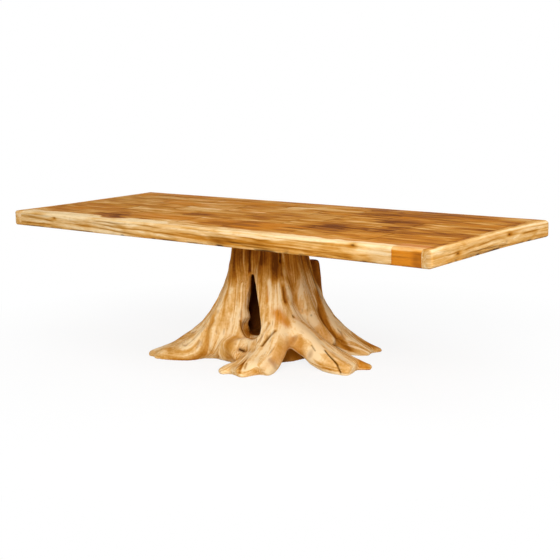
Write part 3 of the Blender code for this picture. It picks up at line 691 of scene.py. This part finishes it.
for name, side, start, end, seed, features, streaks in (
    ("front_rail", "front", -side_end, block_low.x - FIT_GAP, 1, FRONT_FEATURES, FRONT_STREAKS),
    ("front_corner_block", "front", block_low.x, side_end, 1, (), ()),
    ("back_rail", "back", -side_end, side_end, 2, BACK_FEATURES, ()),
    ("right_end_rail", "right", -HALF_WIDTH, HALF_WIDTH, 3, RIGHT_FEATURES, RIGHT_STREAKS),
    ("left_end_rail", "left", -HALF_WIDTH, HALF_WIDTH, 4, LEFT_FEATURES, ()),
):
    mesh = rail_mesh(name, side, start, end, seed, features, streaks)
    if side in ("left", "right"):
        mesh = notched(mesh, ledge_cuts(1 if side == "right" else -1))
    shade(mesh)
    if name == "front_corner_block":
        place("rim_" + name, mesh, block_skin, name)
    else:
        place("rim_" + name, mesh, rim_skin, name)


# Boards of the field

def board_mesh(name, number):
    """One board: eased edges, a slightly uneven planed face, its own piece of figure."""
    low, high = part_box(name)
    near, far = low.y, high.y - (0.0 if name.startswith("board_5") else TONGUE)
    bottom, top = low.z, high.z
    arris, third = BOARD_ARRIS, 0.0005
    outline = run((near, bottom), (far, bottom), 0.03)
    outline += run((far, bottom), (far, top - arris), BOARD_PITCH)
    outline += [np.array((far, top - arris)), np.array((far - third, top - third))]
    outline += run((far - arris, top), (near + arris, top), 0.008)
    outline += [np.array((near + arris, top)), np.array((near + third, top - third))]
    outline += run((near, top - arris), (near, bottom), BOARD_PITCH)
    count = round((high.x - low.x) / BOARD_PITCH)
    stations = np.concatenate([
        [low.x, low.x + 0.0006], np.linspace(low.x, high.x, count + 1)[1:-1], [high.x - 0.0006, high.x],
    ])
    along, across, up = spread(stations, np.array(outline))
    world = np.stack([along, across, up], axis=1)
    ends = np.minimum(along - low.x, high.x - along)
    eased = 0.0008 * (1 - smooth(ends, 0.0, 0.0012)) * (up > top - 0.004)
    planed = 0.00025 + 0.00025 * noise(world, (9, 22, 1), 60 + number)
    world[:, 2] -= (eased + planed) * (up > top - 0.004)
    mesh = swept_mesh(name, np.split(world, len(stations)))
    shift = np.array([1.7 * number, 0.83 * number, 0.41 * number])
    tone, blush = field_paint(along, across)
    tone += 0.07 * math.sin(2.4 * number) + 0.16 * layers(world + shift, (3.4, 15, 1), 90, 2)
    paint(mesh, "grain", world + shift)
    paint(mesh, "tone", np.clip(tone, -0.1, 1.1))
    paint(mesh, "blush", np.clip(blush, 0.0, 0.7))
    seam = np.minimum(np.minimum(across - near, far - across), ends)
    paint(mesh, "hollow", 0.30 * (1 - smooth(seam, 0.0004, 0.0022)))
    shade(mesh, 50)
    return mesh


boards = sorted(name for name in nodes if name.startswith("board_"))
for number, name in enumerate(boards):
    place("plank" + name[5:], board_mesh(name, number), board_skin, name)


# Stump: the routes that its roots take, in root units of the solid

ROOT_UNIT = 0.010
STRAND_STEPS = 24
SWEEP = 1.25
# top angle, top radius, top drop, tip angle, reach, tip height, flare; angles in degrees
ROUTES = (
    (217, 14, 0, 218.6, 63.4, 2.4, 15), (246, 16.5, 0, 223, 59, 2.2, 14), (260, 19, 22, 230, 34, 5, 16),
    (318, 21.2, 0, 280, 47, 2.5, 8), (327, 22.5, 0, 293, 50, 4, 12), (335, 23.2, 0, 307, 48.5, 6, 18),
    (341, 23.5, 31, 352, 67, 5, 30), (346, 23, 31, 358, 64, 5, 30), (349, 23, 31, 364, 68.5, 2.2, 30),
    (365, 22.8, 0, 378, 42, 10, 20), (38, 23.8, 0, 35, 64.5, 1.2, 20), (30, 21.5, 0, 29.5, 59, 3.2, 18),
    (60, 33.5, 13, 70, 53, 1.2, 8), (105, 23.5, 0, 114, 53.5, 1.4, 16), (86, 23.5, 0, 105, 44, 4.5, 15),
    (124, 22.5, 0, 122, 45, 4.5, 15), (156, 20.5, 0, 157, 58.5, 1.2, 16), (141, 21.5, 0, 149, 48, 4, 14),
    (174, 18, 0, 165, 49, 4, 14), (196, 14.5, 0, 207, 54, 3, 14),
)


def route_line(route):
    """Points along the ridge of one root, from the top to its tip, and how far each is down the wood."""
    sizes = [value if k in (0, 3) else value * ROOT_UNIT for k, value in enumerate(route)]
    top_angle, top_radius, drop, tip_angle, reach, tip_height, flare = sizes
    top = STUMP_TOP - drop
    spread = (reach - top_radius) / (1 / (tip_height + flare) - 1 / (top + flare))
    axis = reach - spread / (tip_height + flare)
    height = tip_height + (top - tip_height) * (1 - np.linspace(0, 1, STRAND_STEPS + 1)) ** 2
    out = axis + spread / (height + flare)
    turned = np.maximum(0.0, (out - top_radius) / (reach - top_radius)) ** SWEEP
    angle = np.radians(top_angle + (tip_angle - top_angle) * turned)
    line = np.stack([out * np.cos(angle), out * np.sin(angle), height], axis=1)
    steps = np.linalg.norm(np.diff(line, axis=0), axis=1)
    return line, drop + np.concatenate([[0.0], np.cumsum(steps)])


def near_line(places, line, marks=None):
    """How far each place is from a line, and the line's mark at the nearest point."""
    apart = np.full(len(places), np.inf)
    mark = np.zeros(len(places))
    line = np.asarray(line, float)
    if len(line) == 1:
        return np.linalg.norm(places - line[0], axis=1), mark
    for k in range(len(line) - 1):
        way = line[k + 1] - line[k]
        share = np.clip((places - line[k]) @ way / (way @ way), 0.0, 1.0)
        gap = np.linalg.norm(places - line[k] - share[:, None] * way, axis=1)
        closer = gap < apart
        apart = np.where(closer, gap, apart)
        if marks is not None:
            mark = np.where(closer, marks[k] + share * (marks[k + 1] - marks[k]), mark)
    return apart, mark


def stump_blank():
    """The solid's surface, remeshed finely."""
    piece = shown("stump_blank", nodes["stump"].data.copy())
    weld = piece.modifiers.new("weld", "WELD")
    weld.merge_threshold = 0.0001
    fine = piece.modifiers.new("fine", "REMESH")
    fine.mode = "VOXEL"
    fine.voxel_size = STUMP_VOXEL
    soft = piece.modifiers.new("soft", "SMOOTH")
    soft.factor = 0.5
    soft.iterations = 20
    mesh = settle(piece)
    bpy.data.objects.remove(piece)
    return mesh


def averaged(values, pairs, times):
    """Values evened out over the mesh, each with its neighbours."""
    count = len(values)
    first, second = pairs.T
    share = np.bincount(first, minlength=count) + np.bincount(second, minlength=count)
    columns = values.reshape(count, -1).copy()
    for _ in range(times):
        for k in range(columns.shape[1]):
            column = columns[:, k]
            total = np.bincount(first, column[second], count) + np.bincount(second, column[first], count)
            columns[:, k] = 0.5 * column + 0.5 * total / share
    return columns.reshape(values.shape)


def carried_down(places, along, pairs):
    """For every point the place on the stump's top that its fibres come from, as a point on a circle."""
    count = len(places)
    both = np.concatenate([pairs, pairs[:, ::-1]])
    both = both[np.argsort(both[:, 0], kind="stable")]
    starts = np.searchsorted(both[:, 0], np.arange(count + 1)).tolist()
    others = both[:, 1].tolist()
    angle = np.arctan2(places[:, 1] - 0.02, places[:, 0] - 0.03)
    turn_x, turn_y = np.cos(angle).tolist(), np.sin(angle).tolist()
    level = along.tolist()
    spots = places.tolist()
    for k in np.argsort(along, kind="stable").tolist():
        total = sum_x = sum_y = 0.0
        for other in others[starts[k]:starts[k + 1]]:
            fall = level[k] - level[other]
            if fall > 0:
                weight = (fall / math.dist(spots[k], spots[other])) ** 2
                total += weight
                sum_x += weight * turn_x[other]
                sum_y += weight * turn_y[other]
        if total > 0.05:
            turn_x[k], turn_y[k] = sum_x / total, sum_y / total
    return np.stack([turn_x, turn_y], axis=1)


# Lines on the stump that are both carved and painted, in millimetres
WINDOW_LIP = ((10, -200, 205), (22, -210, 151), (70, -233, 126), (137, -251, 131), (198, -256, 171),
              (199, -228, 222))
LIP_EDGE = ((9, -199, 213), (13, -200, 187), (17, -195, 159), (36, -197, 141), (63, -201, 129),
            (83, -192, 127))
WEB_CREASE = ((-19, -268, 94), (17, -292, 94), (44, -315, 87), (63, -330, 77))
WEB_SEAM = ((-11, -228, 122), (-30, -238, 116), (-44, -255, 102), (-51, -267, 84), (-55, -276, 60))
FOOT_NOTCH = ((192, -383, 67), (209, -429, 50), (217, -452, 30))
FOLD = ((39, -153, 620), (39, -153, 533), (41, -151, 472))
GROOVE_1 = ((-106, -245, 258), (-123, -268, 211), (-169, -291, 164), (-205, -326, 117))
GROOVE_2 = ((-111, -268, 212), (-137, -287, 177), (-154, -323, 119), (-177, -345, 84))
GROOVE_3 = ((-140, -290, 172), (-126, -311, 120), (-125, -300, 59))
RIDGE = ((286, -124, 249), (342, -121, 197), (394, -106, 171), (445, -112, 140), (491, -131, 111))
VALLEY = ((316, 119, 200), (345, 124, 157), (379, 135, 114), (401, 171, 73), (431, 189, 37))

# Carved features of the stump in millimetres: line, half width, depth (negative stands proud); darkness,
# which is painted shade in slits, cracks, notches, pits and splits, and the dark of the knots
CARVING = (
    # rounded lip round the foot of the window
    (WINDOW_LIP, 16, -6, 0),
    # rounded column inside the window's left edge
    (((-2, -150, 232), (-10, -140, 200), (-6, -140, 160)), 30, -26, 0),
    # inner edge of the lip
    (LIP_EDGE, 6, 4, 0.35),
    # the two slits between the lip and the front root's arm, and the pit at their foot
    (((219, -218, 231), (205, -244, 191), (189, -272, 147)), 9, 10, 0.2),
    (((264, -222, 198), (248, -249, 174), (236, -269, 152), (229, -287, 134)), 8, 10, 0.75),
    (((93, -303, 101), (107, -293, 93)), 11, 12, 1.0),
    (((118, -290, 100), (186, -309, 106)), 14, 6, 0.1),
    # the swelling round the pit worn flat, and fill of the crease beside it
    (((84, -318, 96), (100, -292, 108)), 30, 14, 0),
    (((-30, -270, 50), (-20, -266, 94), (-6, -252, 135)), 48, -22, 0),
    (WEB_CREASE, 28, -15, 0),
    (((-78, -272, 55), (-70, -264, 105), (-58, -246, 150)), 30, -9, 0),
    (WEB_SEAM, 20, -11, 0),
    (((42, -290, 115), (65, -266, 127), (91, -250, 127), (130, -262, 118)), 22, -11, 0),
    # notches in the front root's foot
    (FOOT_NOTCH, 9, 7, 0.3),
    (((218, -398, 61), (230, -422, 43)), 7, 7, 0.4),
    # knot on the shoulder
    (((272, -94, 278),), 28, -10, 0),
    (((285, -105, 255), (289, -100, 248)), 7, 8, 0.75),
    (((313, 27, 239),), 6, 6, 0.7),
    (((263, -172, 268),), 45, -9, 0),
    # shaded hollow below the top, the fissure beside it, and the split under that
    (((80, -150, 620), (146, -154, 620), (188, -132, 620)), 80, 12, 0),
    (((214, -90, 630), (217, -96, 569), (221, -102, 535)), 9, 12, 0.75),
    (((221, -102, 535), (231, -110, 468)), 10, 8, 0.15),
    (((244, -117, 402), (253, -122, 364), (261, -124, 333)), 10, 10, 0.3),
    (((168, -166, 470), (184, -163, 428), (205, -180, 336)), 16, -6, 0),
    # fold beside the window
    (FOLD, 10, 10, 0.15),
    # drying cracks in the right root
    (((503, -118, 110), (514, -121, 104), (558, -132, 78), (590, -140, 55), (613, -144, 12)), 5.5, 9, 1.0),
    (((437, -143, 130), (465, -152, 108)), 4.5, 4, 0.6),
    # dark recess between the front and right roots
    (((300, -110, 60), (330, -120, 55), (380, -150, 50)), 32, 12, 0),
    # valley between the right roots
    (((300, 118, 250), *VALLEY), 22, 10, 0.25),
    (((470, 300, 50), (500, 290, 36), (525, 285, 14)), 5, 5, 0.5),
    # split between the trunk and the broken lobe
    (((215, 150, 540), (222, 160, 440), (240, 170, 370), (262, 180, 310)), 16, 14, 0.7),
    # fill of the valley along the left root
    (((-109, -245, 256), (-140, -269, 203), (-165, -299, 156), (-225, -315, 119), (-308, -307, 78),
     (-348, -344, 53), (-379, -375, 38)), 34, -13, 0),
    # grooves and knobs on the left root
    (GROOVE_1, 13, 6, 0),
    (GROOVE_2, 12, 6, 0),
    (GROOVE_3, 10, 6, 0.05),
    (((-162, -310, 144),), 9, -7, 0),
    (((-145, -320, 119),), 8, -6, 0),
    (((-108, -286, 171), (-100, -297, 97), (-110, -274, 37)), 18, -6, 0),
    # pale ridge of the right root
    (RIDGE, 26, -6, 0),
)

# Where the web under the window is evened out before the carving
EASED_LINE = ((-60, -262, 85), (0, -280, 95), (55, -300, 98))
EASED_WIDTH = 0.050
EASED_STEPS = 160

# Painted strokes of the stump: line and half width in millimetres, change of tone, orange blush
STROKES = (
    # left strip of the trunk, the fold beside it, and painted shade in the hollow below the top
    (((-39, -160, 620), (-46, -173, 500), (-58, -195, 408)), 16, 0.22, 0),
    (((6, -153, 520), (4, -172, 394), (-4, -202, 275)), 18, -0.06, 0),
    (((-42, -194, 440), (-55, -212, 340), (-75, -240, 270)), 60, 0.16, 0),
    (FOLD, 10, 0.3, 0),
    (((80, -150, 630), (95, -159, 530)), 30, 0.26, 0),
    (((146, -154, 630), (148, -160, 530)), 22, 0.22, 0),
    (((188, -132, 630), (199, -134, 530), (208, -135, 470)), 20, 0.34, 0),
    (((215, -40, 600), (230, -62, 472)), 18, -0.1, 0.5),
    (((235, 5, 600), (249, 4, 460), (236, -33, 400)), 18, 0.22, 0),
    (((239, -86, 445), (239, -50, 390), (243, -32, 330)), 16, 0.26, 0),
    (((244, -117, 412), (253, -122, 364), (261, -124, 333)), 12, 0.3, 0.15),
    # lighter ribs and orange lines of the trunk
    (((227, -143, 420), (239, -153, 352), (250, -165, 307)), 13, -0.26, 0),
    (((184, -163, 440), (195, -173, 374), (205, -180, 336)), 10, -0.24, 0),
    (((178, -173, 410), (191, -185, 336)), 7, 0.1, 0.6),
    (((247, -183, 280), (272, -175, 251), (291, -158, 224)), 24, 0.14, 0.8),
    (((290, -101, 248), (334, -61, 211), (375, -46, 178), (431, -58, 144)), 16, 0.14, 0.5),
    (((272, -98, 285), (291, -33, 244), (316, 18, 215)), 18, -0.2, 0),
    (((233, 116, 460), (254, 119, 355), (280, 116, 279)), 18, -0.14, 0),
    # right root
    (RIDGE[1:], 16, -0.2, 0),
    (((366, -143, 166), (382, -161, 128)), 12, 0.14, 0.3),
    # paler and more orange: painted light on the flank turned away from the key light
    (((317, 3, 207), (351, 42, 150), (388, 78, 94)), 40, -0.14, 0.2),
    (((519, -28, 93), (604, -60, 60)), 20, 0.02, 0.15),
    (((459, -166, 71), (507, -161, 42), (558, -153, 20)), 8, 0.22, 0.05),
    (((640, 4, 36), (672, 16, 8)), 30, 0.4, 0.2),
    (((230, -95, 33), (254, -50, 32), (265, -22, 20)), 50, 0.4, 0.6),
    (((300, -110, 70), (379, -166, 92)), 22, 0.2, 0.4),
    (((327, -164, 147), (312, -178, 106), (322, -224, 97), (328, -264, 75)), 22, 0.08, 0.25),
    (((317, -60, 207), (430, -105, 149), (538, -80, 90), (610, -100, 60)), 50, -0.1, -0.4),
    # valley behind it, and the far right root
    (((265, 138, 327), (286, 129, 269), *VALLEY), 22, 0.5, 0.2),
    (((274, 165, 299), (329, 205, 184), (370, 254, 125)), 22, -0.14, 0),
    (((418, 193, 80), (438, 195, 42)), 10, -0.3, 0),
    (((470, 310, 50), (496, 344, 27), (525, 357, 10)), 30, 0.34, 0.15),
    # broken lobe
    (((175, 220, 520), (186, 225, 418), (199, 234, 363)), 45, 0.75, 0.1),
    (((190, 267, 500), (190, 267, 416), (205, 270, 330)), 30, 0.4, 0),
    # front root's arm and foot
    (FOOT_NOTCH, 12, 0.34, 0.1),
    (((313, -250, 124), (322, -289, 87), (330, -308, 49)), 16, 0.1, 0.12),
    (((123, -395, 46), (191, -336, 91), (251, -314, 108)), 24, -0.12, 0),
    (((308, -373, 43), (320, -315, 75)), 18, 0.1, 0.25),
    # pale lip of the window and pale flank of the left root
    (WINDOW_LIP, 24, -0.24, 0),
    (((40, -262, 110), (120, -300, 100), (190, -336, 91)), 30, -0.12, 0),
    (WEB_CREASE, 34, 0.06, 0),
    (((-420, -400, 20), (-300, -385, 50), (-206, -360, 71), (-157, -335, 89)), 60, -0.18, -0.6),
    (((-80, -280, 60), (-60, -270, 110), (-60, -230, 210)), 50, -0.06, 0),
    (WEB_SEAM[:4], 18, -0.14, -0.2),
    # left wall inside the window, paler as painted light with painted shade at its foot, and the edge of the
    # lip beside it
    (((16, -175, 270), (-9, -148, 210)), 32, -0.2, -0.3),
    (((-12, -146, 172), (-8, -144, 152), (18, -158, 138)), 26, 0.46, 0.1),
    (LIP_EDGE, 8, 0.4, 0.1),
    # left root
    (GROOVE_1, 9, 0.14, 0.06),
    (GROOVE_2, 8, 0.16, 0.05),
    (GROOVE_3, 8, 0.12, 0.05),
    (((-87, -277, 109), (-40, -237, 184), (-27, -223, 236)), 26, -0.16, 0),
    (((-470, -410, 6), (-421, -384, 30), (-375, -366, 42)), 26, 0.14, 0.2),
    (((-342, -341, 55), (-305, -301, 84)), 14, 0.18, 0.1),
    (((-213, -368, 12), (-174, -333, 15), (-85, -273, 31), (45, -320, 42)), 9, 0.3, 0.1),
    (((-183, -348, 34), (-120, -283, 44), (-38, -280, 52), (61, -328, 52)), 16, 0.26, 0.15),
)


def stump_mesh():
    """The stump, carved and painted along the run of its roots."""
    mesh = stump_blank()
    places = vectors(mesh.vertices, "co")
    pairs = np.empty(len(mesh.edges) * 2, np.int32)
    mesh.edges.foreach_get("vertices", pairs)
    pairs = pairs.reshape(-1, 2)
    apart, _ = near_line(places, np.array(EASED_LINE) / MM)
    eased = np.exp(-(apart / EASED_WIDTH) ** 2)
    places += eased[:, None] * (averaged(places, pairs, EASED_STEPS) - places)
    set_points(mesh, places)
    x, y, z = places.T
    gaps, marks = np.array([near_line(places, *route_line(route)) for route in ROUTES]).transpose(1, 0, 2)
    weights = np.exp(-(gaps - gaps.min(axis=0)) / 0.025)
    along = (weights * marks).sum(axis=0) / weights.sum(axis=0)
    along = averaged(along, pairs, 30)
    turn = carried_down(places, along, pairs)
    turn = averaged(turn, pairs, 4)
    grain = np.column_stack([along, 0.2 * turn])
    normals = vectors(mesh.vertex_normals, "vector")
    trunk = smooth(z, 0.10, 0.42)
    flutes = layers(grain, (1.1, 26, 26), 3, 2)
    ribs = layers(grain, (3.0, 75, 75), 7, 2)
    lumps = layers(places, (10, 10, 10), 11, 2)
    sink = -0.006 * flutes * (0.35 + 0.65 * trunk) - 0.0020 * ribs - 0.005 * lumps
    sink += 0.004 * smooth(-flutes, 0.25, 0.8) * trunk
    dark = np.zeros(len(places))
    for line, width, depth, darkness in CARVING:
        apart, _ = near_line(places, np.array(line) / MM)
        sink += depth / MM * np.exp(-(apart / (width / MM)) ** 2)
        dark = np.maximum(dark, darkness * np.exp(-(apart / (0.75 * width / MM)) ** 2))
    free = smooth(z, 0.0, 0.020) * smooth(STUMP_TOP - z, 0.0, 0.015)
    carved = places - normals * (sink * free)[:, None]
    carved = averaged(carved, pairs, 1)
    carved[:, 2] = np.clip(carved[:, 2], 0.0, STUMP_TOP)
    carved[z < 0.0015, 2] = 0.0
    carved[z > STUMP_TOP - 0.0015, 2] = STUMP_TOP
    set_points(mesh, carved)
    # tone: paler on what stands proud and browner in the hollows, as painted light and shade, and streaked
    # darker towards the top, partly as painted shade under the tabletop
    sunk = ((averaged(carved, pairs, 40) - carved) * normals).sum(axis=1)
    sunk_fine = ((averaged(carved, pairs, 6) - carved) * normals).sum(axis=1)
    grain[:, 2] += 0.24 * z * smooth(-x, 0.10, 0.25)
    patches = layers(grain, (3.2, 13, 13), 17, 3)
    streaks = np.tanh(2.2 * layers(grain, (1.5, 42, 42), 19, 2))
    fine = np.tanh(2.0 * layers(grain, (4.0, 95, 95), 21, 2))
    upper = smooth(z, 0.36, 0.58)
    fleck = 0.45 * layers(places, (120, 120, 120), 25, 2) + 0.75 * layers(grain, (14, 190, 190), 27, 2)
    # painted shade on the right of the trunk, below the tabletop
    painted_shade_right = smooth(x + 0.5 * y, 0.17, 0.24)
    tone = 0.17 + (0.09 * patches + 0.08 * streaks) * (0.40 + 0.60 * upper) + 0.11 * fine + 0.24 * fleck
    # darker towards the top: partly the trunk's own darker wood, partly painted shade under the tabletop,
    # deepest on the right
    tone += (0.56 + 0.12 * painted_shade_right + 0.13 * streaks) * upper
    # painted shade in the hollows and painted light on what stands proud
    tone += np.clip(sunk / 0.010, -0.5, 1.2) * 0.15 + np.clip(sunk_fine / 0.0015, -0.7, 1.0) * 0.10
    blush = 0.20 * smooth(layers(grain, (4.0, 16, 16), 23, 2), 0.30, 0.80)
    ragged = 1 + 0.7 * layers(grain, (9, 60, 60), 29, 2)
    for line, width, change, orange in STROKES:
        apart, _ = near_line(places, np.array(line) / MM)
        near = np.exp(-(apart * ragged / (width / MM)) ** 2)
        tone += change * near
        blush += orange * near
    tone += 0.75 * eased * (0.20 + 0.08 * fine + 0.08 * fleck - tone)
    calm = smooth(0.03 - x, 0.0, 0.06) * smooth(0.46 - z, 0.0, 0.10)
    calm *= 0.50 + 0.32 * smooth(-x, 0.09, 0.20)
    aim = 0.13 + 0.05 * smooth(-x, 0.09, 0.20)
    tone += calm * (aim + 0.08 * fine + 0.26 * fleck - tone)
    blush -= 0.6 * calm
    # painted shade in the grooves of the flutes below the top
    dark = np.maximum(dark, 0.25 * smooth(-flutes, 0.45, 0.95) * upper)
    # painted shade inside the hollow behind the window
    rim = 0.116 + 0.016 * smooth(z, 0.30, 0.42) + 0.034 * smooth(0.155 - z, 0.0, 0.02)
    inside = smooth(rim - np.hypot(x - 0.04, y), 0.0, 0.014)
    inside *= smooth(z, 0.08, 0.13) * smooth(0.60 - z, 0.0, 0.06)
    tone += (1.0 - tone) * inside
    dark = np.maximum(dark, 0.55 * inside)
    paint(mesh, "grain", grain)
    paint(mesh, "tone", np.clip(tone, -0.1, 1.1))
    paint(mesh, "blush", np.clip(blush, 0.0, 0.85))
    paint(mesh, "hollow", np.clip(dark, 0.0, 1.0))
    mesh.shade_smooth()
    return mesh


place("root_stump", stump_mesh(), root_skin, "stump")

# Timber and screws under the top keep their solids

batten_skin = sawn("frame_wood_across", 1)
bearer_skin = sawn("frame_wood_along", 0)
screw_skin = zinc()
for name, node in nodes.items():
    if "screw" in name:
        skin = screw_skin
    elif name.startswith("batten_"):
        skin = batten_skin
    elif name.startswith(("bearer_", "tenon_")):
        skin = bearer_skin
    else:
        continue
    node.data.materials.clear()
    node.data.materials.append(skin)


# Floor, world, lights and camera

def plainly_seen(g):
    """1 for what is seen by the camera, in a gloss or through glass, 0 for what only lights the object."""
    path = g.node("LightPath").outputs
    seen = g.sum(path["Is Camera Ray"], path["Is Glossy Ray"], operation="MAXIMUM")
    return g.sum(seen, path["Is Transmission Ray"], operation="MAXIMUM")


def plain_floor():
    """A pale disc that keeps the shadow and fades into the white round it."""
    bm = bmesh.new()
    bmesh.ops.create_circle(bm, cap_ends=True, segments=96, radius=FLOOR_RADIUS)
    mesh = bpy.data.meshes.new("floor")
    bm.to_mesh(mesh)
    bm.free()
    floor = shown("floor", mesh)
    floor.location.z = -FLOOR_DROP
    g = Graph(bpy.data.materials.new("pale_floor"))
    cloth = g.node("BsdfDiffuse", {"Color": (0.88, 0.88, 0.88, 1.0)})
    white = g.node("Emission", {"Color": (1.0, 1.0, 1.0, 1.0), "Strength": 1.0})
    spot = g.node("TexCoord").outputs["Object"]
    away = g.node("VectorMath", {0: spot}, operation="LENGTH").outputs["Value"]
    share = g.sum(plainly_seen(g), g.span(away, 0.5, 2.2, 0.85, 1.0), operation="MULTIPLY")
    both = g.node("MixShader", {0: share, 1: cloth.outputs[0], 2: white.outputs[0]})
    g.node("OutputMaterial", {"Surface": both.outputs[0]})
    mesh.materials.append(g.made)


def outward(azimuth, elevation):
    """The way out from the table to a place seen under two angles in degrees."""
    a, e = math.radians(azimuth), math.radians(elevation)
    return Vector((math.sin(a) * math.cos(e), -math.cos(a) * math.cos(e), math.sin(e)))


def soft_light(name, azimuth, elevation, away, size, power):
    """A round lamp that looks at the middle of the table."""
    lamp = bpy.data.lights.new(name, "AREA")
    lamp.shape = "DISK"
    lamp.size = size
    lamp.energy = power
    held = shown(name, lamp)
    back = outward(azimuth, elevation)
    held.location = Vector((0, 0, 0.4)) + back * away
    held.rotation_mode = "QUATERNION"
    held.rotation_quaternion = (-back).to_track_quat("-Z", "Y")


def sky():
    """White to look at, and dimmer as a light."""
    g = Graph(bpy.data.worlds.new("studio"))
    level = g.span(plainly_seen(g), 0.0, 1.0, SKY_LIGHT, 1.0)
    glow = g.node("Background", {"Color": (1.0, 1.0, 1.0, 1.0), "Strength": level})
    g.node("OutputWorld", {"Surface": glow.outputs[0]})
    scene.world = g.made


plain_floor()
sky()
# name, azimuth and elevation in degrees, distance, size, power
soft_light("key", 30, 30, 6.0, 2.6, 212)
soft_light("side", 80, 27, 6.5, 2.6, 132)
soft_light("overhead", 0, 84, 5.0, 3.5, 52)

CAMERA_AZIMUTH = 39.3168
CAMERA_ELEVATION = 10.9125
CAMERA_ROLL = -1.4579
CAMERA_PLACE = (3.687, -4.350, 1.4948)
FOCAL_PIXELS = 1084.69
IMAGE_PIXELS = 560.0
SENSOR = 36.0
camera = bpy.data.cameras.new("camera")
camera.sensor_width = SENSOR
camera.lens = FOCAL_PIXELS * SENSOR / IMAGE_PIXELS
camera.clip_end = 100.0
eye = shown("camera", camera)
toward = outward(CAMERA_AZIMUTH, CAMERA_ELEVATION)
across = outward(CAMERA_AZIMUTH + 90, 0)
upward = toward.cross(across)
tilt = Matrix.Rotation(math.radians(CAMERA_ROLL), 3, toward)
axes = Matrix((tilt @ across, tilt @ upward, toward)).transposed()
eye.matrix_world = Matrix.Translation(CAMERA_PLACE) @ axes.to_4x4()
bpy.context.scene.camera = eye
scene.view_settings.view_transform = "Standard"
